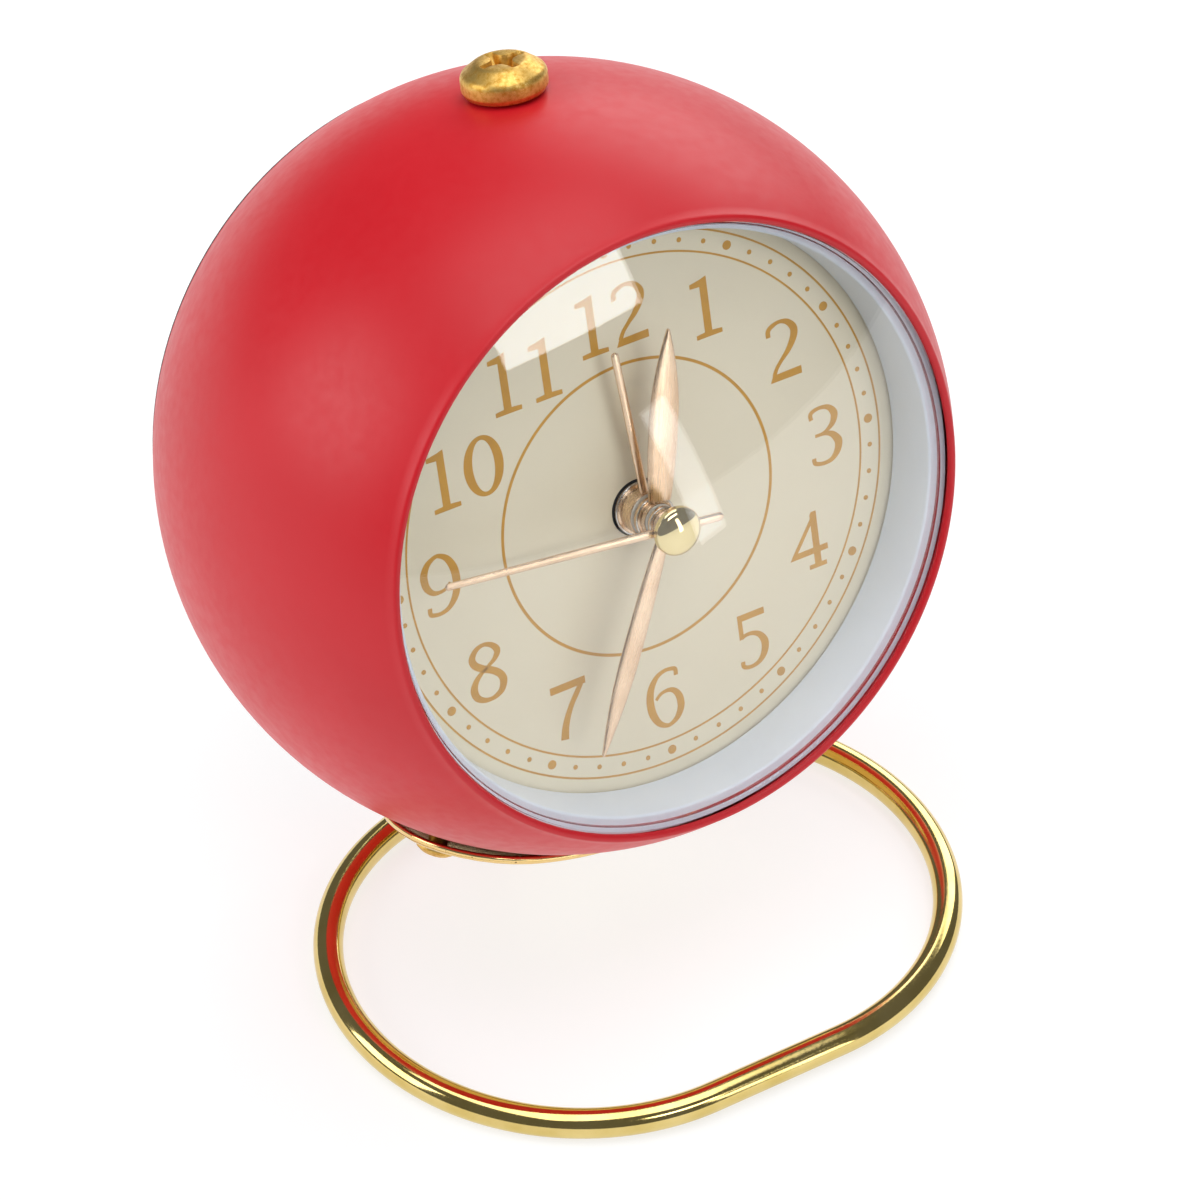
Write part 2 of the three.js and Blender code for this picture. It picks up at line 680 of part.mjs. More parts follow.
const BATTERY_ENDS = [-23.9, 24.7];
const CONTACT_X = 26.2;
const SPRING = { turns: 2.5, baseRadius: 4.4, tipRadius: 2.6, length: 1.6 };

function batteryGeometry() {
  const [start, end] = BATTERY_ENDS;
  const profile = [
    [0, start],
    [BATTERY_RADIUS - 0.6, start],
    [BATTERY_RADIUS, start + 0.6],
    [BATTERY_RADIUS, end - 0.6],
    [BATTERY_RADIUS - 0.6, end],
    [2.75, end],
    [2.75, end + 1.2],
    [0, end + 1.2],
  ];
  return turned(profile, SMALL_ROUND).rotateZ(-Math.PI / 2).translate(0, BATTERY_Y, BATTERY_Z);
}

// The conical spring that presses on the battery's flat end.
class SpringCurve extends THREE.Curve {
  getPoint(t, target = new THREE.Vector3()) {
    const a = t * SPRING.turns * 2 * Math.PI;
    const radius = SPRING.baseRadius + (SPRING.tipRadius - SPRING.baseRadius) * t;
    const x = 0.2 - CONTACT_X + SPRING.length * t;
    return target.set(x, BATTERY_Y + radius * Math.cos(a), BATTERY_Z + radius * Math.sin(a));
  }
}

function contactPlate(x0, x1) {
  return block([x0, BATTERY_Y - 5.5, BATTERY_Z - 5.5], [x1, BATTERY_Y + 5.5, BATTERY_Z + 5.5]);
}

place(ball, "battery", batteryGeometry(), BATTERY_JACKET);
place(ball, "battery_contact_positive", contactPlate(CONTACT_X, CONTACT_X + 0.5), STEEL);
place(
  ball,
  "battery_contact_negative",
  join(contactPlate(-CONTACT_X - 0.5, -CONTACT_X), swept(new SpringCurve(), 0.3, 6, 36)),
  STEEL,
);

function leadCurve(side) {
  return new THREE.CatmullRomCurve3([
    new THREE.Vector3(side * 22, BAY.front - 0.6, BATTERY_Z),
    new THREE.Vector3(side * 21, BAY.front - 3, BATTERY_Z - 3),
    new THREE.Vector3(side * 16, 3, BATTERY_Z - 5),
    new THREE.Vector3(side * 12, CASE_BACK_Y + 2.5, BATTERY_Z - 3),
    new THREE.Vector3(side * 11, CASE_BACK_Y + 0.4, BATTERY_Z - 2),
  ]);
}

place(ball, "lead_positive", swept(leadCurve(1), 0.6, 6, 14), RED_CABLE);
place(ball, "lead_negative", swept(leadCurve(-1), 0.6, 6, 14), BLACK_PLASTIC);

// ---------------------------------------------------------------- controls on the rear

const KNOB = {
  radius: 6.5,
  front: PANEL_Y + 0.5,
  back: PANEL_Y + 5.5,
  flutes: 18,
  fluteDepth: 0.5,
};

// A fluted knob on a long shaft, with the setting pinion at the shaft's front end.
function settingKnobGeometry(axis, size, layer) {
  const outline = new THREE.Shape();
  for (let i = 0; i < 2 * KNOB.flutes; i++) {
    const a = (i * Math.PI) / KNOB.flutes;
    const r = KNOB.radius - (i % 2 === 0 ? 0 : KNOB.fluteDepth);
    if (i === 0) outline.moveTo(r, 0);
    else outline.lineTo(r * Math.cos(a), r * Math.sin(a));
  }
  return join(
    plate(outline, KNOB.front, KNOB.back).translate(axis[0], 0, axis[1]),
    rod(axis, 1.4, layer[0] + 0.2, KNOB.front + 0.5),
    wheel(axis, size, layer),
  );
}

function switchGeometry() {
  const x = SWITCH_REST_X;
  return join(
    block([x - 2.5, PANEL_Y + 0.3, SWITCH_Z - 2.2], [x + 2.5, PANEL_Y + 2.2, SWITCH_Z + 2.2]),
    block([x - 1.5, 22.2, SWITCH_Z - 1.2], [x + 1.5, PANEL_Y + 0.5, SWITCH_Z + 1.2]),
    block([x - 4, 21.8, SWITCH_Z - 2.6], [x + 4, 22.8, SWITCH_Z + 2.6]),
    block([x - 1, -1.6, SWITCH_Z - 1.2], [x + 1, 22, SWITCH_Z + 1.2]),
  );
}

const timeKnob = settingKnobGeometry(TIME_SET_AXIS, TIME_SET, LAYER.motion);
const alarmKnob = settingKnobGeometry(ALARM_SET_AXIS, ALARM_SET, LAYER.alarm);
place(ball, "time_set_knob", timeKnob, BLACK_PLASTIC);
place(ball, "alarm_set_knob", alarmKnob, BLACK_PLASTIC);
place(ball, "alarm_switch", switchGeometry(), WHITE_PLASTIC);

// ---------------------------------------------------------------- hands

const HAND_THICKNESS = 0.35;

// A straight hand: half width at the hub and at the tip, with a rounded tip.
function batonOutline(length, hubHalf, tipHalf, tail) {
  const outline = new THREE.Shape();
  outline.moveTo(-hubHalf, -tail);
  outline.lineTo(hubHalf, -tail);
  outline.lineTo(tipHalf, length - tipHalf);
  outline.absarc(0, length - tipHalf, tipHalf, 0, Math.PI);
  return outline;
}

// A leaf hand: narrow at the hub, widest at `belly` along its length, pointed at the tip.
function leafOutline(length, hubHalf, bellyHalf, belly) {
  const outline = new THREE.Shape();
  outline.moveTo(-hubHalf, 0);
  outline.lineTo(hubHalf, 0);
  outline.quadraticCurveTo(bellyHalf * 1.08, belly * 0.45, bellyHalf, belly);
  outline.quadraticCurveTo(bellyHalf * 0.85, belly + (length - belly) * 0.5, 0.25, length);
  outline.lineTo(-0.25, length);
  outline.quadraticCurveTo(-bellyHalf * 0.85, belly + (length - belly) * 0.5, -bellyHalf, belly);
  outline.quadraticCurveTo(-bellyHalf * 1.08, belly * 0.45, -hubHalf, 0);
  return outline;
}

// A hand whose front face is at `height` in front of the dial, with its collar behind the blade.
function handGeometry(outline, height, collarDepth, collarRadius, boreRadius) {
  const front = DIAL_Y - height;
  const blade = plate(outline, front, front + HAND_THICKNESS);
  const collar = rod(CENTRE_AXIS, collarRadius, front, front + collarDepth, SMALL_ROUND);
  const bore = rod(CENTRE_AXIS, boreRadius, front - 1, front + collarDepth + 1, SMALL_ROUND);
  return cut(join(blade, collar), bore);
}

const HAND_FIT = 0.15;
const HANDS = [
  {
    name: "alarm_hand",
    angle: ALARM_ANGLE,
    outline: batonOutline(22.8, 0.6, 0.5, 0),
    geometry: [HAND_HEIGHT.alarm - 0.1, 2.7, 3.55, TUBE_RADII.alarm[1] + HAND_FIT],
  },
  {
    name: "hour_hand",
    angle: HOUR_ANGLE,
    outline: leafOutline(24.9, 1.3, 2.1, 14.5),
    geometry: [HAND_HEIGHT.hour - 0.1, 1.7, 2.75, TUBE_RADII.hour[1] + HAND_FIT],
  },
  {
    name: "minute_hand",
    angle: MINUTE_ANGLE,
    outline: leafOutline(30.7, 0.75, 1.4, 19),
    geometry: [HAND_HEIGHT.minute - 0.1, 1.4, 2.1, TUBE_RADII.minute[1] + HAND_FIT],
  },
  {
    name: "second_hand",
    angle: SECOND_ANGLE,
    outline: batonOutline(32.4, 0.6, 0.45, 7.2),
    geometry: [HAND_HEIGHT.second - 0.05, 1.2, 1.6, ARBOR_RADIUS + HAND_FIT],
  },
];

for (const { name, angle, outline, geometry } of HANDS) {
  const mesh = place(ball, name, handGeometry(outline, ...geometry), ROSE_GOLD);
  mesh.rotation.y = THREE.MathUtils.degToRad(angle);
}

const CAP = {
  radius: 3.2,
  back: DIAL_Y - HAND_HEIGHT.second - 0.2,
  rimHeight: 0.5,
  domeHeight: 1.6,
};

place(
  ball,
  "hand_cap",
  turned(
    [
      [0, CAP.back],
      [CAP.radius - 0.2, CAP.back],
      [CAP.radius, CAP.back - 0.2],
      [CAP.radius, CAP.back - CAP.rimHeight],
      [CAP.radius * 0.8, CAP.back - CAP.domeHeight * 0.72],
      [CAP.radius * 0.45, CAP.back - CAP.domeHeight * 0.94],
      [0, CAP.back - CAP.domeHeight],
    ],
    SMALL_ROUND,
  ),
  PALE_GOLD,
);

// ---------------------------------------------------------------- top screw and stand fasteners

const TOP_SCREW_SEAT = BALL_RADIUS + 0.2;
const crown = new THREE.Group();
crown.rotation.x = TOP_SCREW_LEAN;
ball.add(crown);
const topScrew = place(
  crown,
  "top_screw",
  crossHeadScrew({
    headRadius: 5.5,
    headHeight: 4.1,
    shankRadius: 2.4,
    shankLength: 8.5,
    slotWidth: 1.5,
    slotLength: 6.2,
    segments: 24,
  }),
  GOLD_SCREW,
);
topScrew.position.z = TOP_SCREW_SEAT;
topScrew.rotation.z = THREE.MathUtils.degToRad(5);
place(crown, "top_nut", hexNut(4.6, 2.75, 45.8, 49.4), STEEL);

const STRAP_SCREW_SEAT = 53.2;
const STRAP_SCREW_TURNS = { left: Math.PI + STRAP_SCREW_ANGLE, right: Math.PI - STRAP_SCREW_ANGLE };

for (const [side, turn] of Object.entries(STRAP_SCREW_TURNS)) {
  const ray = new THREE.Group();
  ray.rotation.y = turn;
  ball.add(ray);
  const screw = crossHeadScrew({
    headRadius: 2.7,
    headHeight: 1.8,
    shankRadius: 1.4,
    shankLength: 8.5,
    slotWidth: 0.8,
    slotLength: 3,
    segments: FINE_ROUND,
  });
  place(ray, `strap_screw_${side}`, screw, GOLD_SCREW).position.z = STRAP_SCREW_SEAT;
  place(ray, `strap_nut_${side}`, hexNut(3.2, 1.7, 46.8, 49.2), STEEL);
}

// ---------------------------------------------------------------- stand

// The strap is a dished plate a little flatter than the ball, so its ends stand off the ball.
function strapGeometry() {
  const outer = STRAP_INNER_RADIUS + STRAP_THICKNESS;
  const reach = THREE.MathUtils.degToRad(40);
  const dish = turnedUp([
    ...arcSection(STRAP_INNER_RADIUS, STRAP_CENTRE_RISE, 0, reach, 6),
    ...arcSection(outer, STRAP_CENTRE_RISE, reach, 0, 6),
  ], 28);
  const outline = roundedRectangle(STRAP_LENGTH, STRAP_WIDTH, STRAP_CORNER);
  const options = { depth: 40, bevelEnabled: false, curveSegments: 4 };
  const blank = new THREE.ExtrudeGeometry(outline, options).translate(0, 0, -70);
  return cut(
    common(dish, blank),
    ballDrill(1.8, Math.PI + STRAP_SCREW_ANGLE),
    ballDrill(1.8, Math.PI - STRAP_SCREW_ANGLE),
  );
}

place(ball, "stand_strap", strapGeometry(), GOLD_WIRE);

// Points round the bend at `corner`, between the straight runs from `before` and to `after`.
function roundedCorner(before, corner, after, radius, steps = 5) {
  const towards = before.clone().sub(corner).normalize();
  const away = after.clone().sub(corner).normalize();
  const half = towards.angleTo(away) / 2;
  const tangent = radius / Math.tan(half);
  const start = corner.clone().addScaledVector(towards, tangent);
  const end = corner.clone().addScaledVector(away, tangent);
  const bisector = towards.clone().add(away).normalize();
  const centre = corner.clone().addScaledVector(bisector, radius / Math.sin(half));
  const spokeStart = start.clone().sub(centre);
  const spokeEnd = end.clone().sub(centre);
  const turn = spokeStart.angleTo(spokeEnd);
  return Array.from({ length: steps + 1 }, (_, i) => {
    const share = i / steps;
    return centre
      .clone()
      .addScaledVector(spokeStart, Math.sin((1 - share) * turn) / Math.sin(turn))
      .addScaledVector(spokeEnd, Math.sin(share * turn) / Math.sin(turn));
  });
}

const LEG_WELD_RADIUS = 54.8;
const LEG_TOP_Y = [-9.5, -3];

// Half of the stand's centre line, from the middle of the front straight round to one leg's end.
function halfWirePoints() {
  const z = WIRE_RADIUS - BALL_CENTRE[2];
  const rearY = LOOP_CENTRE_Y + LOOP_END_RADIUS;
  const points = [new THREE.Vector3(0, LOOP_CENTRE_Y - LOOP_END_RADIUS, z)];
  const arcSteps = 16;
  for (let i = 0; i <= arcSteps; i++) {
    const a = -Math.PI / 2 + (i * Math.PI) / arcSteps;
    const x = LOOP_HALF_STRAIGHT + LOOP_END_RADIUS * Math.cos(a);
    points.push(new THREE.Vector3(x, LOOP_CENTRE_Y + LOOP_END_RADIUS * Math.sin(a), z));
  }
  const weldPoint = (y) =>
    new THREE.Vector3(LEG_X, y, -Math.sqrt(LEG_WELD_RADIUS ** 2 - LEG_X ** 2 - y ** 2));
  const foot = new THREE.Vector3(LEG_X, rearY, z);
  const loopEnd = new THREE.Vector3(LOOP_HALF_STRAIGHT, rearY, z);
  const weldEnd = weldPoint(LEG_TOP_Y[0]);
  const weldStart = weldPoint(LEG_TOP_Y[1]);
  points.push(...roundedCorner(loopEnd, foot, weldStart, 4.5));
  points.push(...roundedCorner(foot, weldStart, weldEnd, 6, 3));
  points.push(weldEnd);
  return points;
}

// A curve whose swept section keeps one flat facing straight down, so that the loop lies flat.
class LevelCurve extends THREE.CatmullRomCurve3 {
  computeFrenetFrames(segments) {
    const up = new THREE.Vector3(0, 0, 1);
    const shares = Array.from({ length: segments + 1 }, (_, i) => i / segments);
    const tangents = shares.map((share) => this.getTangentAt(share));
    const binormals = tangents.map((tangent) => tangent.clone().cross(up).normalize());
    const normals = tangents.map((tangent, i) => binormals[i].clone().cross(tangent));
    return { tangents, normals, binormals };
  }
}

function wireGeometry() {
  const right = halfWirePoints();
  const left = right.slice(1).map((p) => new THREE.Vector3(-p.x, p.y, p.z));
  const curve = new LevelCurve([...left.reverse(), ...right], false, "centripetal");
  return swept(curve, WIRE_RADIUS, 8, 80);
}

place(upright, "stand_wire", wireGeometry(), GOLD_WIRE);

export default alarmClock;
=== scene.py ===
"""A round ball alarm clock on a bent wire stand: its looks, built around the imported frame.

Shapes are drawn in millimetres in the clock's own frame: X to the right of the dial, Y along the
dial's axis towards the back, Z up the dial, with the ball's centre at the origin. piece() scales
them to metres and sets them on that frame, which leans back in the row frame.
"""

import json
from math import asin, atan2, cos, hypot, pi, radians, sin, sqrt, tan

import bmesh
import bpy
from mathutils import Matrix, Vector


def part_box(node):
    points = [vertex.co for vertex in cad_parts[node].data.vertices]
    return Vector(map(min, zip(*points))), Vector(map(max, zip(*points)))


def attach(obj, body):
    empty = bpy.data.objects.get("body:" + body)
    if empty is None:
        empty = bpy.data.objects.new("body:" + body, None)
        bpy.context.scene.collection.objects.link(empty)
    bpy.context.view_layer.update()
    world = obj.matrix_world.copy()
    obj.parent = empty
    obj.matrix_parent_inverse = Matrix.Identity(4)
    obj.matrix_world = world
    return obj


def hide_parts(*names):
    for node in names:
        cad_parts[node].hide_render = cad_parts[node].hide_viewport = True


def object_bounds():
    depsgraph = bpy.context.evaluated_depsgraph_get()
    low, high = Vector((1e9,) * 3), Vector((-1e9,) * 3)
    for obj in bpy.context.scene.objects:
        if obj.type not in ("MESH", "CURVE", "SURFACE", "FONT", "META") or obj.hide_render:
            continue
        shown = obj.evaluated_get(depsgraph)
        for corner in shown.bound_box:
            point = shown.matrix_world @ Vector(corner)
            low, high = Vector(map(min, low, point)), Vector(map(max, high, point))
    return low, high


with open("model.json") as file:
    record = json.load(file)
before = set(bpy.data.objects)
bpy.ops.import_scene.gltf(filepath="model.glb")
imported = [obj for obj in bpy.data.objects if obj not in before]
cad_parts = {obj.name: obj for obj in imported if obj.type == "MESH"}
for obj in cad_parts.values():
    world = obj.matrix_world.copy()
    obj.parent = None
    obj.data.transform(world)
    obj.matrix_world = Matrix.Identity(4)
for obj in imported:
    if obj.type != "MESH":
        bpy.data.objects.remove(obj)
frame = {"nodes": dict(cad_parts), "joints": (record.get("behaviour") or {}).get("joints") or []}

cad_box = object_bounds()

MM = 0.001
TURN = 2 * pi

# ---- the clock's frame

JOINTS = {joint["name"]: joint for joint in frame["joints"]}
CENTRE = Vector(JOINTS["minute_turn"]["pos_m"])
BACK = Vector(JOINTS["minute_turn"]["axis"]).normalized()
RIGHT = Vector((1, 0, 0))
UP = RIGHT.cross(BACK)


def frame_matrix(origin, x_axis, y_axis, z_axis):
    turn = Matrix((x_axis, y_axis, z_axis)).transposed().to_4x4()
    return Matrix.Translation(origin) @ turn


CLOCK = frame_matrix(CENTRE, RIGHT, BACK, UP)
UPRIGHT = Matrix.Translation(CENTRE)


def clock_place(x, y, z):
    """The clock's frame moved to a point of it, in millimetres."""
    return CLOCK @ Matrix.Translation(Vector((x, y, z)) * MM)


def corners(node):
    """A CAD node's vertices in the clock's frame, in millimetres."""
    inverse = CLOCK.inverted()
    return [(inverse @ vertex.co) / MM for vertex in frame["nodes"][node].data.vertices]


def span(node, axis):
    """Lowest and highest place of a CAD node along one axis of the clock's frame."""
    places = [corner[axis] for corner in corners(node)]
    return min(places), max(places)


def reach(node):
    """Largest distance of a CAD node from the dial's axis."""
    return max(hypot(corner.x, corner.z) for corner in corners(node))


def middle(node):
    places = corners(node)
    return sum(places, Vector()) / len(places)


# ---- driving dimensions

BALL_RADIUS = 51
BALL_HALF_DEPTH = 52.1
SHELL_WALL = 0.9
RIM_Y = span("ball_shell", 1)[0]
REAR_Y = span("ball_shell", 1)[1]
DIAL_Y = span("dial", 1)[0]
DIAL_RADIUS = reach("dial")
DIAL_HOLE = 3.8
PANEL_Y = span("battery_door", 1)[1]
PANEL_THICKNESS = 1.8
WIRE_RADIUS = 2
STRAP_INNER_RADIUS = 56.1
STRAP_THICKNESS = 1.1
STRAP_RISE = 4.8
STRAP_LENGTH = 61
STRAP_WIDTH = 26
STRAP_CORNER = 12
PRINT_THICKNESS = 0.03
LAYER_STEP = 0.004
ROD_END_RISE = 0.4  # of the rod's radius
WELD = 1e-4  # points nearer than this are one
ON_AXIS = 1e-6  # a ring smaller than this is a point
QUARTER_TURN = Matrix.Rotation(pi / 2, 4, "X")

# ---- shape helpers


def turns(count, start=0.0, sweep=TURN, ends=False):
    """Angles spread evenly over a sweep, with its last one where it has ends."""
    return [start + sweep * i / count for i in range(count + ends)]


def skin(shape, rings, capped=False):
    """Faces between rings of vertices in a row; a ring of one vertex closes to a point."""
    for first, second in zip(rings, rings[1:]):
        count = max(len(first), len(second))
        for i in range(count):
            j = (i + 1) % count
            near = (first[i % len(first)], first[j % len(first)])
            far = (second[j % len(second)], second[i % len(second)])
            face = list(dict.fromkeys(near + far))
            if len(face) > 2:
                shape.faces.new(face)
    if capped:
        shape.faces.new(rings[0])
        shape.faces.new(rings[-1])
    return shape


def lathe(profile, segments=96):
    """A solid of revolution about Y. The profile starts and ends on the axis, or closes on itself."""
    shape = bmesh.new()
    rings = []
    for radius, y in profile:
        around = turns(1 if radius < ON_AXIS else segments)
        rings.append([shape.verts.new((radius * sin(a), y, radius * cos(a))) for a in around])
    if len(rings[0]) > 1:
        rings.append(rings[0])
    return skin(shape, rings)


def fillet(before, corner, after, radius, steps):
    """The arc of a radius that rounds the corner between two lines."""
    towards = (before - corner).normalized()
    away = (after - corner).normalized()
    half = towards.angle(away) / 2
    centre = corner + (towards + away).normalized() * radius / sin(half)
    start = corner + towards * radius / tan(half) - centre
    end = corner + away * radius / tan(half) - centre
    turn = start.angle(end)
    points = []
    for i in range(steps + 1):
        share = i / steps
        spoke = start * sin((1 - share) * turn) + end * sin(share * turn)
        points.append(centre + spoke / sin(turn))
    return points


def rounded(outline, closed=True, steps=5):
    """(x, y, radius) corners as (x, y) points, with each corner turned into an arc of its radius."""
    result = []
    count = len(outline)
    for i, (*corner, radius) in enumerate(outline):
        if radius <= 0 or (not closed and i in (0, count - 1)):
            result.append(tuple(corner))
            continue
        before, after = outline[i - 1][:2], outline[(i + 1) % count][:2]
        result += map(tuple, fillet(Vector(before), Vector(corner), Vector(after), radius, steps))
    return result


def ellipse(half_x, half_z, centre=(0, 0), steps=48):
    x, z = centre
    return [(x + half_x * cos(a), z + half_z * sin(a)) for a in turns(steps)]


def circle(radius, centre=(0, 0)):
    return ellipse(radius, radius, centre, 32)


def as_mesh(shape, name="holder"):
    """A finished shape as mesh data; the shape is freed."""
    bmesh.ops.recalc_face_normals(shape, faces=shape.faces)
    mesh = bpy.data.meshes.new(name)
    shape.to_mesh(mesh)
    shape.free()
    return mesh


def placed(name, data):
    made = bpy.data.objects.new(name, data)
    bpy.context.scene.collection.objects.link(made)
    return made


def evaluated(holder):
    """A holder object's final mesh as a bmesh; the holder and its data are removed."""
    mesh = bpy.data.meshes.new_from_object(holder.evaluated_get(bpy.context.evaluated_depsgraph_get()))
    shape = bmesh.new()
    shape.from_mesh(mesh)
    bpy.data.meshes.remove(mesh)
    data = holder.data
    bpy.data.objects.remove(holder)
    (bpy.data.curves if isinstance(data, bpy.types.Curve) else bpy.data.meshes).remove(data)
    return shape


def plate(outlines, front, back, edge=0.0):
    """Outlines in (x, z), the inner ones holes, as a solid between two places on Y with rounded edges."""
    curve = bpy.data.curves.new("outline", "CURVE")
    curve.dimensions = "2D"
    curve.fill_mode = "BOTH"
    curve.extrude = (back - front) / 2 - edge
    curve.bevel_depth = edge
    curve.bevel_resolution = 2
    curve.offset = -edge
    for outline in outlines:
        loop = curve.splines.new("POLY")
        loop.points.add(len(outline) - 1)
        for point, (x, z) in zip(loop.points, outline):
            point.co = (x, z, 0, 1)
        loop.use_cyclic_u = True
    shape = evaluated(placed("holder", curve))
    bmesh.ops.remove_doubles(shape, verts=shape.verts, dist=WELD)
    return moved(shape, Matrix.Translation((0, (front + back) / 2, 0)) @ QUARTER_TURN)


def block(half_x, half_z, radius, centre, front, back, edge=0.0):
    """A plate whose outline is a rectangle with rounded corners."""
    x, z = centre
    signs = ((-1, -1), (1, -1), (1, 1), (-1, 1))
    outline = rounded([(x + sx * half_x, z + sz * half_z, radius) for sx, sz in signs])
    return plate([outline], front, back, edge)


def peg(radius, centre, front, back):
    return plate([circle(radius, centre)], front, back)


def combine(operation, body, *tools):
    """A body joined with closed tools, or cut by them, one after the other."""
    for tool in tools:
        holders = [placed("holder", as_mesh(shape)) for shape in (body, tool)]
        modifier = holders[0].modifiers.new("combine", "BOOLEAN")
        modifier.operation = operation
        modifier.solver = "EXACT"
        modifier.object = holders[1]
        body = evaluated(holders[0])
        evaluated(holders[1]).free()
    return body


def cut(body, *tools):
    return combine("DIFFERENCE", body, *tools)


def join(body, *tools):
    return combine("UNION", body, *tools)


def gather(*shapes):
    """Several solids as one mesh, each left as it is."""
    whole = bmesh.new()
    for shape in shapes:
        mesh = as_mesh(shape)
        whole.from_mesh(mesh)
        bpy.data.meshes.remove(mesh)
    return whole


def moved(shape, matrix):
    shape.transform(matrix)
    return shape


def soften(shape, width, angle, steps=2):
    """Rounds every edge that is sharper than the angle."""
    bmesh.ops.remove_doubles(shape, verts=shape.verts, dist=WELD)
    bmesh.ops.dissolve_degenerate(shape, dist=WELD, edges=shape.edges)
    limit = radians(angle)
    sharp = [edge for edge in shape.edges if edge.is_manifold and edge.calc_face_angle(0) > limit]
    bmesh.ops.bevel(
        shape, geom=sharp, offset=width, segments=steps, profile=0.5, affect="EDGES", clamp_overlap=True,
    )
    return shape


def spline(knots, closed, steps=5):
    """A smooth line through knots of any number of values."""
    count = len(knots)
    result = []
    for i in range(count if closed else count - 1):
        picks = [i - 1, i, i + 1, i + 2]
        picks = [p % count if closed else min(max(p, 0), count - 1) for p in picks]
        a, b, c, d = (knots[p] for p in picks)
        for k in range(steps):
            t = k / steps
            result.append(tuple(
                0.5 * (2 * q + (r - p) * t + (2 * p - 5 * q + 4 * r - s) * t * t
                       + (3 * q - p - 3 * r + s) * t ** 3)
                for p, q, r, s in zip(a, b, c, d)
            ))
    return result if closed else [*result, knots[-1]]


def ribbon(knots, origin, front, back, closed):
    """A flat stroke through (x, z, half width) knots, between two places on Y."""
    shape = bmesh.new()
    line = spline(knots, closed)
    count = len(line)
    rings = []
    for i, (x, z, half) in enumerate(line):
        last = line[i - 1] if closed or i else line[0]
        following = line[(i + 1) % count] if closed or i < count - 1 else line[-1]
        along = Vector((following[0] - last[0], following[1] - last[1])).normalized()
        side = Vector((-along.y, along.x)) * half
        left = (origin[0] + x + side.x, origin[1] + z + side.y)
        right = (origin[0] + x - side.x, origin[1] + z - side.y)
        ends = ((left, front), (right, front), (right, back), (left, back))
        rings.append([shape.verts.new((px, y, pz)) for (px, pz), y in ends])
    if closed:
        rings.append(rings[0])
    return skin(shape, rings, capped=not closed)


def sweep(path, radius, sides=32, cap_steps=4):
    """A round rod along a path, with domed ends; the section keeps its turn along the line."""
    shape = bmesh.new()
    neighbours = zip([path[0], *path], [*path[1:], path[-1]])
    tangents = [(after - before).normalized() for before, after in neighbours]
    caps = [(ROD_END_RISE * radius * cos(a), radius * sin(a)) for a in turns(cap_steps, 0, pi / 2)]
    stations = [(path[0] - tangents[0] * out, tangents[0], size) for out, size in caps]
    stations += [(point, tangent, radius) for point, tangent in zip(path, tangents)]
    stations += [(path[-1] + tangents[-1] * out, tangents[-1], size) for out, size in reversed(caps)]
    side = tangents[0].orthogonal().normalized()
    rings = []
    for place, tangent, size in stations:
        side = (side - tangent * side.dot(tangent)).normalized()
        other = tangent.cross(side)
        around = turns(sides if size > ON_AXIS else 1)
        rings.append([shape.verts.new(place + (side * cos(a) + other * sin(a)) * size) for a in around])
    return skin(shape, rings)


def piece(name, shape, material, body, replaces=(), place=CLOCK, sharp=32):
    """Turns a finished shape into a named piece that rides on a body."""
    mesh = as_mesh(shape, name)
    mesh.transform(Matrix.Scale(MM, 4))
    mesh.materials.append(material)
    mesh.shade_smooth()
    mesh.set_sharp_from_angle(angle=radians(sharp))
    made = placed(name, mesh)
    made.matrix_world = place
    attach(made, body)
    if replaces:
        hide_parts(*replaces)


# ---- materials


def srgb(*levels):
    """A colour from 0 to 255 levels as the linear colour that shaders take."""
    shares = [level / 255 for level in levels]
    return tuple(s / 12.92 if s <= 0.04045 else ((s + 0.055) / 1.055) ** 2.4 for s in shares) + (1.0,)


BANDS_PER_UNIT = 3.2


